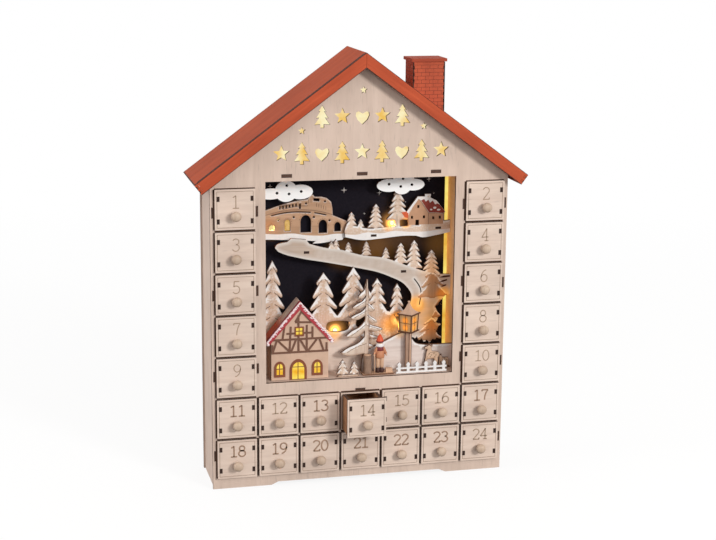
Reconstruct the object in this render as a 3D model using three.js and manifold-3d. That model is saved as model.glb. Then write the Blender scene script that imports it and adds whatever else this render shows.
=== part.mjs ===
// Wooden advent calendar in the shape of a house, cut from thin plywood.
// Twenty-four drawers stand round a lit window with a layered winter village.
// Lengths are in millimetres: X to the right, Y to the back, Z up from the table.

import * as THREE from 'three';
import { mergeVertices } from 'three/addons/utils/BufferGeometryUtils.js';
import Module from 'manifold-3d';

const wasm = await Module();
wasm.setup();

// Plywood and fits.
const ply = 3;                  // boards of the house and the large scene layers
const thinPly = 2;              // boards of the small figures in the scene
const seam = 0.3;               // glue line or running gap between two pieces

// Drawer grid: full rows at the base, then one drawer at each side per tower row.
const cellPitch = 42;
const columns = 7;
const baseRows = 2;
const towerRows = 5;
const gridBottom = 10.2;        // lowest grid line above the table

// Drawers.
const frontGap = 2.4;           // between two drawer fronts
const boxSideGap = 1.5;         // beside a drawer box, up to the divider
const boxHeadroom = 3;          // above a drawer box, up to the shelf
const boxBackGap = 3;           // behind a drawer box, up to the back panel
const openDrawer = 14;          // the one drawer that is pulled out at rest
const openBy = 25;              // and how far
const knobRadius = 5.8;
const knobLength = 10;
const knobDrop = 6;             // knob centre below the middle of the front

// House body.
const bodyDepth = 67;           // front face to back face
const panelMargin = 1.5;        // front and back panels stand past the side boards
const footLength = 59;
const footSlope = 7;
const apronRise = 3.2;
const wallRise = 13.3;          // side edge of the panels above the drawer grid
const sillRise = 12.1;          // window sill above the base drawers
const ceilingRise = 8;          // scene ceiling above the drawer grid
const windowStile = 9;          // front panel beside the window, to the middle of the divider
const windowLintel = 3.8;       // front panel below the scene ceiling

// Tenons that hold the boards in the front and back panels.
const tenonLength = 10;
const sideTenonLow = 34.5;
const sideTenonHigh = 280;
const sideTenonCount = 4;
const dividerTenonLow = 122.7;
const dividerTenonHigh = 280.2;
const dividerTenonCount = 3;
const ceilingTenonPitch = 75;
const floorTabDepths = [20, 47];

// Roof and chimney.
const roofPitch = THREE.MathUtils.degToRad(36.4);
const eaveOverhang = 16.3;
const frontOverhang = 14.2;
const bandDepth = 11.8;         // height of the front board, square to the slope
const eaveFingers = 5;
const chimneyLeft = 52;
const chimneyWidth = 32;
const chimneyFront = 7;
const chimneyDepth = 28;
const chimneyRise = 26.5;       // above the roof at its uphill side
const capMargin = 1.8;

// Depths of the scene layers, each measured to the layer's front face.
const fenceFront = 6;
const firFront = 17;
const deerFront = 18;
const hillFront = 22;
const forestFront = 29;
const roadFront = 35;
const cloudFront = 36;
const hilltopFront = 40;
const viaductFront = 44;
const skyFront = 50;
const walkerMiddle = 10.6;
const lampMiddle = 16.2;
const skyGap = 3.7;             // lit slit at the right end of the sky board

// Battery case, set in the back panel above the scene.
const caseWall = 1.5;
const bayWidth = 58;
const bayHeight = 31;
const bayDepth = 16.5;
const caseRise = 24;            // middle of the case above the scene ceiling board
const switchBay = 13;
const flangeMargin = 4;
const lidGrip = 1;
const cellRadius = 7.1;
const cellLength = 49;
const sliderWidth = 3.6;
const switchTravel = 3;

// Light string.
const wireRadius = 1;
const bulbRadius = 2;
const bulbLength = 9;
const lampReach = 2.3;          // the sky lamps' tips in front of the sky board
const wireBend = 4;
const galleryRun = 25;          // depth of the run behind the gable cut-outs
const galleryBulbPitch = 35;
const strandX = 95;             // the strand down the right side of the scene
const farStrandX = -89;
const riserX = 70;
const riserTop = 105;           // heights above the scene floor
const upperRun = 147.5;
const lowerRun = 37.6;
const strandLamps = [185, 95];
const cottageLamp = -60;
const skyLamps = [[-81, upperRun], [44, upperRun], [-15, lowerRun], [50, lowerRun]];

// Worked out from the sizes above.
const panelHalf = columns * cellPitch / 2 + ply / 2 + panelMargin;
const wallX = columns * cellPitch / 2;
const dividerX = wallX - cellPitch;
const windowWidth = 2 * (dividerX - windowStile);
const gridTop = gridBottom + (baseRows + towerRows) * cellPitch;
const baseTop = gridBottom + baseRows * cellPitch;
const sill = baseTop + sillRise;
const ceiling = gridTop + ceilingRise;
const roomHalf = dividerX - ply / 2 - seam;
const roomHeight = ceiling - sill;
const wallHeight = gridTop + wallRise;
const boardFront = ply + seam;
const boardBack = bodyDepth - ply - seam;
const slope = Math.tan(roofPitch);
const roofReach = panelHalf + eaveOverhang;
const boxWidth = cellPitch - ply - 2 * boxSideGap;
const boxHeight = cellPitch - ply - boxHeadroom;
const boxDepth = bodyDepth - 2 * ply - boxBackGap;
const frontSize = cellPitch - frontGap;
const wireBack = boardBack - wireRadius;
const skyBulbLength = wireBack - skyFront + lampReach;
const caseMiddle = ceiling + ply + caseRise;

// The village is drawn for a room 205.9 high, and the gable's cut-outs for a panel 300 wide.
const villageScale = roomHeight / 205.9;
const gableScale = 2 * panelHalf / 300;
const drawnHeight = roomHeight / villageScale;
const wallEnd = (roomHalf + ply) / villageScale;
const grown = (length) => length * villageScale;

// Solids. Faces with two equal corners go, and the rest are turned outward.
function solid(geometry) {
  geometry.deleteAttribute('normal');
  geometry.deleteAttribute('uv');
  const merged = mergeVertices(geometry);
  const corners = merged.index.array;
  const at = (i) => new THREE.Vector3().fromBufferAttribute(merged.attributes.position, i);
  const faces = [];
  let volume = 0;
  for (let i = 0; i < corners.length; i += 3) {
    const [a, b, c] = [corners[i], corners[i + 1], corners[i + 2]];
    if (a !== b && b !== c && c !== a) {
      faces.push([a, b, c]);
      volume += at(a).dot(at(b).cross(at(c)));
    }
  }
  return new wasm.Manifold(new wasm.Mesh({
    numProp: 3,
    vertProperties: new Float32Array(merged.attributes.position.array),
    triVerts: new Uint32Array(faces.flatMap((face) => (volume < 0 ? face.reverse() : face))),
  }));
}

function bar(x0, x1, y0, y1, z0, z1) {
  const geometry = new THREE.BoxGeometry(x1 - x0, y1 - y0, z1 - z0);
  geometry.translate((x0 + x1) / 2, (y0 + y1) / 2, (z0 + z1) / 2);
  return solid(geometry);
}

// A plate is a flat outline that stands in the XZ plane.
function plate(shape, front, thickness = ply) {
  const geometry = new THREE.ExtrudeGeometry(shape, {
    depth: thickness, bevelEnabled: false, curveSegments: 5,
  });
  geometry.rotateX(Math.PI / 2);
  geometry.translate(0, front + thickness, 0);
  return solid(geometry);
}

// A turned shape stands along Z before its tilt.
const upright = [0, 0, 0];
const forward = [Math.PI / 2, 0, 0];

function turned(profile, sides, x, y, z, tilt = upright) {
  const geometry = new THREE.LatheGeometry(profile.map(([r, h]) => new THREE.Vector2(r, h)), sides);
  geometry.rotateX(Math.PI / 2);
  geometry.rotateX(tilt[0]);
  geometry.rotateY(tilt[1]);
  geometry.rotateZ(tilt[2]);
  geometry.translate(x, y, z);
  return solid(geometry);
}

function join(solids) {
  return solids.reduce((whole, next) => whole.add(next));
}

function cut(body, cutters) {
  return cutters.reduce((rest, cutter) => rest.subtract(cutter), body);
}

function polygon(points) {
  return new THREE.Shape(points.map(([x, z]) => new THREE.Vector2(x, z)));
}

function smooth(points, steps) {
  const curve = new THREE.SplineCurve(points.map(([x, z]) => new THREE.Vector2(x, z)));
  return curve.getPoints(steps).map((p) => [p.x, p.y]);
}

function ellipse(x, z, rx, rz, sides = 16) {
  const points = [];
  for (let i = 0; i < sides; i += 1) {
    const angle = 2 * Math.PI * i / sides;
    points.push([x + rx * Math.cos(angle), z + rz * Math.sin(angle)]);
  }
  return polygon(points);
}

function arch(x0, x1, bottom, top) {
  const half = (x1 - x0) / 2;
  const rise = Math.min(1.3 * half, 0.6 * (top - bottom));
  const shape = new THREE.Shape();
  shape.moveTo(x0, bottom);
  shape.lineTo(x1, bottom);
  shape.absellipse(x0 + half, top - rise, half, rise, 0, Math.PI, false, 0);
  return shape;
}

function evenly(count, low, high) {
  return Array.from({ length: count }, (_, i) => low + (high - low) * i / (count - 1));
}

// Motifs of the gable and the village.
function star(x, z, radius) {
  const points = [];
  for (let i = 0; i < 10; i += 1) {
    const angle = Math.PI / 2 + i * Math.PI / 5;
    const reach = i % 2 === 0 ? radius : radius * 0.45;
    points.push([x + reach * Math.cos(angle), z + reach * Math.sin(angle)]);
  }
  return polygon(points);
}

function heart(x, z, size) {
  const shape = new THREE.Shape();
  const half = size / 2;
  shape.moveTo(x, z - half);
  shape.bezierCurveTo(x + size * 0.75, z, x + half, z + size * 0.65, x, z + size * 0.22);
  shape.bezierCurveTo(x - half, z + size * 0.65, x - size * 0.75, z, x, z - half);
  return shape;
}

// A fir: each tier of branches droops to a tip, unless it is small, and steps back in at a notch.
function fir(x, foot, top, reach, tiers, trunk = 2) {
  const small = 9;
  const side = [];
  const tierDrop = (top - foot - trunk) / tiers;
  let inner = 0;
  for (let tier = 1; tier <= tiers; tier += 1) {
    const tip = reach * (tier / tiers) ** 0.62;
    const tipHeight = top - tier * tierDrop;
    if (reach > small) {
      side.push([inner + 0.72 * (tip - inner), tipHeight + 0.42 * tierDrop]);
    }
    side.push([tip, tipHeight]);
    inner = 0.5 * tip;
    side.push([inner, tipHeight + 0.08 * tierDrop]);
  }
  const stem = 0.14 * reach + 0.8;
  side[side.length - 1][0] = stem;
  side.push([stem, foot]);
  const left = side.map(([w, z]) => [x - w, z]).reverse();
  const right = side.map(([w, z]) => [x + w, z]);
  return polygon([[x, top], ...right, ...left]);
}

// Materials.
function paint(color, roughness = 0.75, metalness = 0) {
  return () => new THREE.MeshStandardMaterial({ color, roughness, metalness });
}
const plywood = paint(0xd9bfa8);
const roofRed = paint(0xb5482c);
const bandRed = paint(0xd0502c);
const brickRed = paint(0xa83f28);
const nightBlack = paint(0x17141c, 0.9);
const snowWhite = paint(0xe9edf2);
const warmWood = paint(0xe0c4a0);
const blackPlastic = paint(0x1c1c1e, 0.5);
const cellGreen = paint(0x2f6b46, 0.4, 0.3);
const wireSilver = paint(0xcfd0d2, 0.35, 0.6);

const calendar = new THREE.Group();
const village = new THREE.Group();
village.position.z = sill;
calendar.add(village);

function piece(name, shape, material, parent = calendar) {
  const { vertProperties, triVerts } = shape.getMesh();
  const geometry = new THREE.BufferGeometry();
  geometry.setAttribute('position', new THREE.BufferAttribute(vertProperties, 3));
  geometry.setIndex(new THREE.BufferAttribute(triVerts, 1));
  geometry.computeVertexNormals();
  const mesh = new THREE.Mesh(geometry, material());
  mesh.name = name;
  parent.add(mesh);
  return mesh;
}

// Front and back panels: one outline, with slots for the tenons of every board.
const tenonLines = [
  ...[-1, 1].flatMap((side) => evenly(sideTenonCount, sideTenonLow, sideTenonHigh)
    .map((z) => ({ x: side * wallX, z, upright: true }))),
  ...[-1, 1].flatMap((side) => evenly(dividerTenonCount, dividerTenonLow, dividerTenonHigh)
    .map((z) => ({ x: side * dividerX, z, upright: true }))),
  ...[-1, 0, 1].map((side) => ({ x: side * ceilingTenonPitch, z: ceiling + ply / 2, upright: false })),
  { x: 0, z: baseTop, upright: false },
];

function tenonBar({ x, z, upright }, clearance = 0) {
  const halfX = (upright ? ply : tenonLength) / 2 + clearance;
  const halfZ = (upright ? tenonLength : ply) / 2 + clearance;
  return bar(x - halfX, x + halfX, -clearance, bodyDepth + clearance, z - halfZ, z + halfZ);
}

function tenonsNear(x, z) {
  return tenonLines.filter((line) => (x === undefined || Math.abs(line.x - x) < ply)
    && (z === undefined || Math.abs(line.z - z) < ply)).map((line) => tenonBar(line));
}

function houseOutline() {
  const footEnd = panelHalf - footLength;
  const apronEnd = footEnd - footSlope;
  return polygon([
    [-panelHalf, 0], [-footEnd, 0], [-apronEnd, apronRise], [apronEnd, apronRise],
    [footEnd, 0], [panelHalf, 0], [panelHalf, wallHeight],
    [0, wallHeight + panelHalf * slope], [-panelHalf, wallHeight],
  ]);
}

// Drawer cells by number: odd numbers up the left tower, even ones up the right.
function drawerCells() {
  const cells = [];
  for (let level = 0; level < towerRows; level += 1) {
    const row = baseRows + towerRows - 1 - level;
    cells.push({ column: 0, row }, { column: columns - 1, row });
  }
  for (let row = baseRows - 1; row >= 0; row -= 1) {
    for (let column = 0; column < columns; column += 1) {
      cells.push({ column, row });
    }
  }
  return cells.map(({ column, row }) => ({
    x: (column - (columns - 1) / 2) * cellPitch,
    z: gridBottom + row * cellPitch,
  }));
}

// Cut-outs of the gable: heights are above the scene ceiling.
function gableCutouts() {
  const motifs = [];
  const upper = ['fir', 'star', 'heart', 'star', 'fir'];
  const lower = ['star', 'fir', 'heart', 'fir', 'star', 'fir', 'heart', 'fir', 'star'];
  const motifPitch = 20;
  const motifHeight = 22;
  for (const [row, z] of [[upper, 58], [lower, 23]]) {
    row.forEach((kind, i) => {
      const x = (i - (row.length - 1) / 2) * motifPitch;
      if (kind === 'fir') motifs.push(fir(x, z - motifHeight / 2, z + motifHeight / 2, 8, 3, 3));
      if (kind === 'star') motifs.push(star(x, z, 8.5));
      if (kind === 'heart') motifs.push(heart(x, z - 1, 15));
    });
  }
  for (const [x, z] of [[1, 82.9], [-60, 44.7], [62, 46.7]]) {
    motifs.push(star(x, z, 4));
  }
  return motifs.map((shape) => plate(shape, -ply, 3 * ply).scale([gableScale, 1, gableScale])
    .translate([0, 0, ceiling]));
}

function frontPanel() {
  const holeHalf = boxWidth / 2 + seam;
  const holes = drawerCells().map(({ x, z }) => bar(x - holeHalf, x + holeHalf, -ply, 2 * ply,
    z + ply / 2, z + ply / 2 + boxHeight + 2 * seam));
  const opening = bar(-windowWidth / 2, windowWidth / 2, -ply, 2 * ply, sill, ceiling - windowLintel);
  return cut(plate(houseOutline(), 0), [
    ...holes, opening, ...tenonLines.map((line) => tenonBar(line, seam)), ...gableCutouts(),
  ]);
}

function backPanel() {
  const reach = bayWidth / 2 + caseWall + seam;
  const half = bayHeight / 2 + caseWall + seam;
  const window = bar(-reach, reach + switchBay + caseWall, 0, 2 * bodyDepth,
    caseMiddle - half, caseMiddle + half);
  return cut(plate(houseOutline(), bodyDepth - ply), [
    window, ...tenonLines.map((line) => tenonBar(line, seam)),
  ]);
}

// Roof: height of its two faces above a point x, and its sloping edge boards.
const roofGap = seam / Math.cos(roofPitch);

function roofUnder(x) {
  return wallHeight + roofGap + (panelHalf - Math.abs(x)) * slope;
}

function roofTop(x) {
  return roofUnder(x) + ply / Math.cos(roofPitch);
}

// A point of the eave end: steps back along the slope and down square to it.
function eavePoint(side, back, down) {
  const x = roofReach - back * Math.cos(roofPitch) - down * Math.sin(roofPitch);
  const z = roofTop(roofReach) + back * Math.sin(roofPitch) - down * Math.cos(roofPitch);
  return [side * x, z];
}

function eaveFinger(side, index, clearance) {
  const step = bandDepth / eaveFingers;
  const top = index * step - clearance;
  const bottom = (index + 1) * step + clearance;
  const outer = -2 * clearance;
  const inner = ply + clearance;
  return polygon([
    eavePoint(side, outer, top), eavePoint(side, inner, top),
    eavePoint(side, inner, bottom), eavePoint(side, outer, bottom),
  ]);
}

function roofBoard(side) {
  const ridge = seam / 2;
  const outline = polygon([
    [side * ridge, roofTop(ridge)], eavePoint(side, 0, 0), eavePoint(side, 0, bandDepth),
    eavePoint(side, ply, bandDepth), eavePoint(side, ply, ply), [side * ridge, roofUnder(ridge)],
  ]);
  const front = -frontOverhang + ply + seam;
  const fingers = [1, 3].map((index) => plate(eaveFinger(side, index, 0), -frontOverhang, ply + 2 * seam));
  return join([plate(outline, front, bodyDepth - front), ...fingers]);
}

function roofBand(side) {
  const ridge = seam / 2;
  const outline = polygon([
    [side * ridge, roofTop(ridge)], eavePoint(side, 0, 0), eavePoint(side, 0, bandDepth),
    [side * ridge, roofTop(ridge) - bandDepth / Math.cos(roofPitch)],
  ]);
  const notches = [1, 3].map((index) => plate(eaveFinger(side, index, seam / 2),
    -frontOverhang - ply, 3 * ply));
  return cut(plate(outline, -frontOverhang), notches);
}

const chimneyRight = chimneyLeft + chimneyWidth;
const chimneyTop = roofTop(chimneyLeft) + roofGap + chimneyRise;
const chimneyBack = chimneyFront + chimneyDepth;

function chimneyBody() {
  const shell = polygon([
    [chimneyLeft, roofTop(chimneyLeft) + roofGap], [chimneyRight, roofTop(chimneyRight) + roofGap],
    [chimneyRight, chimneyTop], [chimneyLeft, chimneyTop],
  ]);
  const flue = bar(chimneyLeft + ply, chimneyRight - ply, chimneyFront + ply, chimneyBack - ply,
    roofTop(chimneyRight) - ply, chimneyTop + ply);
  return plate(shell, chimneyFront, chimneyDepth).subtract(flue);
}

function chimneyCap() {
  return bar(chimneyLeft - capMargin, chimneyRight + capMargin, chimneyFront - capMargin,
    chimneyBack + capMargin, chimneyTop + seam, chimneyTop + seam + ply);
}

// Boards inside the house.
function sideBoard(side) {
  const x = side * wallX;
  const top = roofUnder(wallX + ply / 2) - roofGap;
  return join([bar(x - ply / 2, x + ply / 2, boardFront, boardBack, 0, top), ...tenonsNear(x)]);
}

function towerRack(side) {
  const x = side * dividerX;
  const divider = bar(x - ply / 2, x + ply / 2, boardFront, boardBack,
    baseTop + ply / 2 + seam, ceiling - seam);
  const wallFace = side * (wallX - ply / 2 - seam);
  const shelves = [];
  for (let level = 1; level <= towerRows; level += 1) {
    const z = baseTop + level * cellPitch;
    shelves.push(bar(Math.min(x, wallFace), Math.max(x, wallFace), boardFront, boardBack,
      z - ply / 2, z + ply / 2));
  }
  return cut(join([divider, ...shelves, ...tenonsNear(x)]), floorTabs(seam));
}

function floorTabs(clearance) {
  const reach = dividerX + ply / 2 + clearance;
  return floorTabDepths.map((y) => bar(-reach, reach, y - tenonLength / 2 - clearance,
    y + tenonLength / 2 + clearance, sill - ply - clearance, sill + clearance));
}

function baseRack() {
  const reach = wallX - ply / 2 - seam;
  const boards = [];
  for (let level = 0; level <= baseRows; level += 1) {
    const z = gridBottom + level * cellPitch;
    boards.push(bar(-reach, reach, boardFront, boardBack, z - ply / 2, z + ply / 2));
  }
  for (let column = 1; column < columns; column += 1) {
    const x = -wallX + column * cellPitch;
    boards.push(bar(x - ply / 2, x + ply / 2, boardFront, boardBack, gridBottom, baseTop));
  }
  return join([...boards, ...tenonsNear(0, baseTop)]);
}

function sceneCeiling() {
  const reach = wallX - ply / 2 - seam;
  const board = bar(-reach, reach, boardFront, boardBack, ceiling, ceiling + ply);
  const passage = bar(strandX - 2 * wireRadius, strandX + 2 * wireRadius,
    wireBack - wireBend - 2 * wireRadius, bodyDepth, 0, 2 * ceiling);
  return join([board, ...tenonsNear(undefined, ceiling + ply / 2)]).subtract(passage);
}

function sceneFloor() {
  return join([bar(-roomHalf, roomHalf, boardFront, boardBack, sill - ply, sill), ...floorTabs(0)]);
}

// Lamp holes and the gap at the floor that the string passes through.
function wirePassage(front) {
  const half = 3 * wireRadius;
  return bar(cottageLamp - half, cottageLamp + half, front - ply, front + 2 * ply, -ply, 4 * wireRadius);
}

function skyBoard() {
  const right = dividerX - ply / 2 - skyGap;
  const lampHoles = skyLamps.map(([x, z]) => plate(ellipse(x, z, 1.4 * bulbRadius, 1.4 * bulbRadius, 8),
    skyFront - ply, 3 * ply));
  return cut(bar(-roomHalf, right, skyFront, skyFront + ply, seam, roomHeight - seam),
    [...lampHoles, wirePassage(skyFront)]);
}

// One drawer: an open box behind an overlay front, with a turned knob.
function drawer() {
  const half = boxWidth / 2;
  const low = ply / 2 + seam;
  const high = low + boxHeight;
  const back = boxDepth - seam;
  const front = bar(-frontSize / 2, frontSize / 2, -ply - seam, -seam,
    frontGap / 2, frontGap / 2 + frontSize);
  const box = bar(-half, half, -seam, back, low, high);
  const inside = bar(-half + ply, half - ply, -seam, back - ply, low + ply, high + ply);
  const knobProfile = [
    [0, -seam], [0.5 * knobRadius, -seam], [0.42 * knobRadius, 0.35 * knobLength],
    [knobRadius, 0.68 * knobLength], [0.8 * knobRadius, 0.93 * knobLength], [0, knobLength],
  ];
  const knob = turned(knobProfile, 10, 0, -ply - seam, cellPitch / 2 - knobDrop, forward);
  return join([front, box.subtract(inside), knob]);
}

// Battery case with its sliding lid, switch and two cells.
const flangeFront = bodyDepth + seam;
const flangeBack = flangeFront + caseWall;
const lidFront = flangeBack + seam;
const lidBack = lidFront + caseWall;
const lidHalfWidth = bayWidth / 2 + caseWall + 0.5;
const lidHalfHeight = bayHeight / 2 + caseWall;
const switchX = bayWidth / 2 + caseWall + switchBay / 2;

function batteryCase() {
  const left = -bayWidth / 2 - caseWall;
  const right = bayWidth / 2 + caseWall + switchBay + caseWall;
  const half = bayHeight / 2 + caseWall;
  const bayFloor = flangeBack - bayDepth;
  const shell = bar(left, right, bayFloor - caseWall, flangeBack, caseMiddle - half, caseMiddle + half);
  const flange = bar(left - flangeMargin, right + flangeMargin, flangeFront, flangeBack,
    caseMiddle - half - flangeMargin, caseMiddle + half + flangeMargin);
  const rails = [-1, 1].map((side) => {
    const inner = caseMiddle + side * (lidHalfHeight + seam);
    const outer = inner + side * caseWall;
    const lip = inner - side * caseWall;
    const web = bar(-lidHalfWidth, lidHalfWidth, flangeFront, lidBack + seam + caseWall,
      Math.min(inner, outer), Math.max(inner, outer));
    const cover = bar(-lidHalfWidth, lidHalfWidth, lidBack + seam, lidBack + seam + caseWall,
      Math.min(lip, outer), Math.max(lip, outer));
    return web.add(cover);
  });
  const bay = bar(-bayWidth / 2, bayWidth / 2, bayFloor, flangeBack + ply,
    caseMiddle - bayHeight / 2, caseMiddle + bayHeight / 2);
  const pocket = bar(bayWidth / 2 + caseWall, bayWidth / 2 + caseWall + switchBay, bayFloor, flangeFront,
    caseMiddle - bayHeight / 2, caseMiddle + bayHeight / 2);
  const slotHalf = (sliderWidth + switchTravel) / 2 + seam;
  const slot = bar(switchX - sliderWidth / 2 - seam, switchX + sliderWidth / 2 + seam, flangeFront - ply,
    flangeBack + ply, caseMiddle - slotHalf, caseMiddle + slotHalf);
  return cut(join([shell, flange, ...rails]), [bay, pocket, slot]);
}

function batteryLid() {
  const ridges = [0, 1, 2].map((i) => bar(-lidHalfWidth + 5 + 3 * i, -lidHalfWidth + 6.5 + 3 * i,
    lidFront, lidBack + lidGrip, caseMiddle - bayHeight / 4, caseMiddle + bayHeight / 4));
  return join([bar(-lidHalfWidth, lidHalfWidth, lidFront, lidBack,
    caseMiddle - lidHalfHeight, caseMiddle + lidHalfHeight), ...ridges]);
}

function switchSlider() {
  const middle = caseMiddle + switchTravel / 2;
  const half = sliderWidth / 2;
  const base = flangeFront - seam - caseWall;
  return join([
    bar(switchX - half, switchX + half, base, flangeBack + caseWall, middle - half, middle + half),
    bar(switchX - 1.3 * sliderWidth, switchX + 1.3 * sliderWidth, base, flangeFront - seam,
      middle - sliderWidth, middle + sliderWidth),
  ]);
}

function batteryCell(side) {
  const nub = 1.5;
  const profile = [[0, 0], [cellRadius, 0], [cellRadius, cellLength - nub],
    [0.38 * cellRadius, cellLength - nub], [0.38 * cellRadius, cellLength], [0, cellLength]];
  const y = flangeBack - bayDepth + seam + cellRadius;
  const z = caseMiddle + side * (cellRadius + seam);
  return turned(profile, 12, -side * cellLength / 2, y, z, [0, side * Math.PI / 2, 0]);
}

// Light string: one wire swept along straight runs with bevelled corners.
function bevelled(points) {
  const route = [points[0]];
  for (let i = 1; i < points.length - 1; i += 1) {
    for (const other of [points[i - 1], points[i + 1]]) {
      const toward = other.clone().sub(points[i]);
      route.push(points[i].clone().addScaledVector(toward.normalize(), wireBend));
    }
  }
  route.push(points[points.length - 1]);
  return route;
}

function wire(route, sides = 6) {
  const steps = route.slice(1).map((point, i) => point.clone().sub(route[i]).normalize());
  const across = new THREE.Vector3(0.31, 0.57, 0.76).cross(steps[0]).normalize();
  const up = steps[0].clone().cross(across);
  const positions = [];
  let ring = [];
  for (let k = 0; k < sides; k += 1) {
    const angle = 2 * Math.PI * k / sides;
    ring.push(route[0].clone().addScaledVector(across, wireRadius * Math.cos(angle))
      .addScaledVector(up, wireRadius * Math.sin(angle)));
  }
  route.forEach((point, i) => {
    if (i > 0) {
      const along = steps[i - 1];
      const mitre = along.clone().add(steps[Math.min(i, steps.length - 1)]);
      ring = ring.map((p) => p.clone().addScaledVector(along,
        point.clone().sub(p).dot(mitre) / along.dot(mitre)));
    }
    ring.forEach((p) => positions.push(p.x, p.y, p.z));
  });
  const faces = [];
  const last = (route.length - 1) * sides;
  for (let i = 0; i < route.length - 1; i += 1) {
    for (let k = 0; k < sides; k += 1) {
      const a = i * sides + k;
      const b = i * sides + (k + 1) % sides;
      faces.push(a, b, b + sides, a, b + sides, a + sides);
    }
  }
  for (let k = 1; k < sides - 1; k += 1) {
    faces.push(0, k + 1, k, last, last + k, last + k + 1);
  }
  const geometry = new THREE.BufferGeometry();
  geometry.setAttribute('position', new THREE.Float32BufferAttribute(positions, 3));
  geometry.setIndex(faces);
  return solid(geometry);
}

function bulb(x, y, z, length, tilt) {
  const profile = [[0, 0], [0.7 * bulbRadius, 0], [0.7 * bulbRadius, length - 3 * bulbRadius],
    [bulbRadius, length - 2.5 * bulbRadius], [bulbRadius, length - bulbRadius],
    [0, length]];
  return turned(profile, 6, x, y, z, tilt);
}

function lightString() {
  const gallery = ceiling + ply + seam + wireRadius;
  const low = sill + seam + wireRadius;
  const start = -bayWidth / 4;
  const startBack = boardBack - 7 * wireRadius;
  const farLeft = -2.3 * galleryBulbPitch;
  const cottageEnd = forestFront - 6;
  const corners = [
    [start, startBack, caseMiddle - bayHeight / 2 - caseWall - seam], [start, startBack, gallery],
    [farLeft, startBack, gallery], [farLeft, galleryRun, gallery], [strandX, galleryRun, gallery],
    [strandX, wireBack, gallery], [strandX, wireBack, sill + upperRun], [farStrandX, wireBack, sill + upperRun],
    [farStrandX, wireBack, sill + lowerRun], [riserX, wireBack, sill + lowerRun],
    [riserX, wireBack, sill + riserTop], [strandX, wireBack, sill + riserTop],
    [strandX, wireBack, low], [cottageLamp, wireBack, low], [cottageLamp, cottageEnd, low],
  ].map(([x, y, z]) => new THREE.Vector3(x, y, z));
  const bulbs = [-2, -1, 0, 1, 2].map((i) => bulb(i * galleryBulbPitch, galleryRun, gallery,
    bulbLength, upright));
  for (const [x, height] of skyLamps) {
    bulbs.push(bulb(x, wireBack, sill + height, skyBulbLength, forward));
  }
  for (const height of strandLamps) {
    bulbs.push(bulb(strandX, wireBack, sill + height, bulbLength, forward));
  }
  bulbs.push(bulb(cottageLamp, cottageEnd, sill + bulbRadius + seam, bulbLength, forward));
  return join([wire(bevelled(corners)), ...bulbs]);
}

// Village layers: heights are above the scene floor, which is their own zero.
function drawnPlate(shape, front, thickness) {
  return plate(shape, front, thickness).scale([villageScale, 1, villageScale]);
}

function layer(front, outlines, holes = [], thickness = ply) {
  const room = bar(-roomHalf, roomHalf, 0, bodyDepth, 0, roomHeight - seam);
  const boards = join(outlines.map((outline) => drawnPlate(outline, front, thickness)));
  return cut(boards, holes.map((hole) => drawnPlate(hole, front - ply, 3 * ply))).intersect(room);
}

// Shelf that ties a hanging layer back to the sky board.
function bracket(x0, x1, front, z) {
  const middle = grown(z);
  return bar(grown(x0), grown(x1), front, skyFront - seam, middle - ply / 2, middle + ply / 2);
}

function cloud(lobes, stem, dots) {
  const hanger = polygon([[stem - 5, drawnHeight - 20], [stem + 5, drawnHeight - 20],
    [stem + 5, drawnHeight], [stem - 5, drawnHeight]]);
  return layer(cloudFront, [...lobes.map(([x, z, rx, rz]) => ellipse(x, z, rx, rz, 14)), hanger],
    dots.map(([x, z]) => ellipse(x, z, 1.4, 1.4, 6)), thinPly);
}

function viaductTrain() {
  const skyline = smooth([[-wallEnd, 161], [-86.9, 166.4], [-74.3, 170.4], [-59.4, 174.1], [-45, 176]], 10);
  const engine = [[-42, 180], [-39.6, 180.6], [-37.8, 178.2], [-30.8, 178], [-25.5, 176.5],
    [-20.9, 172.5], [-19.6, 166], [-19.2, 158.7], [-14.2, 156.6], [-4, 152]];
  const bank = [[-3, 135.6], [-8, 135.4], [-9, 133.2], [-22, 131.6], [-40, 130.4], [-36.5, 132.9],
    [-62.7, 134.9], [-87, 136.3], [-wallEnd, 136.3]];
  const arches = [[-84.4, -78.9, 145.5, 150.8], [-68.6, -62.7, 144.2, 155.8], [-52.3, -41.5, 142.2, 159.8],
    [-33.6, -25, 141, 154.4], [-17.5, -10.9, 142.1, 151.5]].map((span) => arch(...span));
  const portholes = [[-75, 155.9], [-59.2, 158.1], [-38.6, 157.5], [-22.5, 153.6], [-46.6, 171.7],
    [-27.3, 173.2]].map(([x, z]) => ellipse(x, z, 1.1, 1.1, 6));
  const coachWindows = [0, 1, 2, 3, 4, 5].map((i) => {
    const x = -74 + 3.3 * i;
    const z = 168.2 + 0.4 * i;
    return polygon([[x, z - 1.6], [x + 1.4, z - 1.5], [x + 1.4, z + 1.7], [x, z + 1.6]]);
  });
  const doorway = polygon([[-53.6, 166.4], [-52, 166.6], [-52, 171.6], [-53.6, 171.4]]);
  const cab = polygon([[-39, 174], [-33, 173.4], [-33, 176.2], [-39, 176.6]]);
  const rails = [[[-82, 161], [-68.5, 163.4], [-56, 163.9], [-42, 163]],
    [[-38, 162.4], [-33, 161.4], [-26, 159.8]]]
    .map((line) => {
      const upper = smooth(line, 5);
      return polygon([...upper, ...upper.map(([x, z]) => [x, z - 1]).reverse()]);
    });
  const board = layer(viaductFront, [polygon([...skyline, ...engine, ...bank])],
    [...arches, ...portholes, ...coachWindows, doorway, cab, ...rails]);
  return board.add(bracket(-75, -30, viaductFront + ply / 2, 138.5));
}

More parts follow.
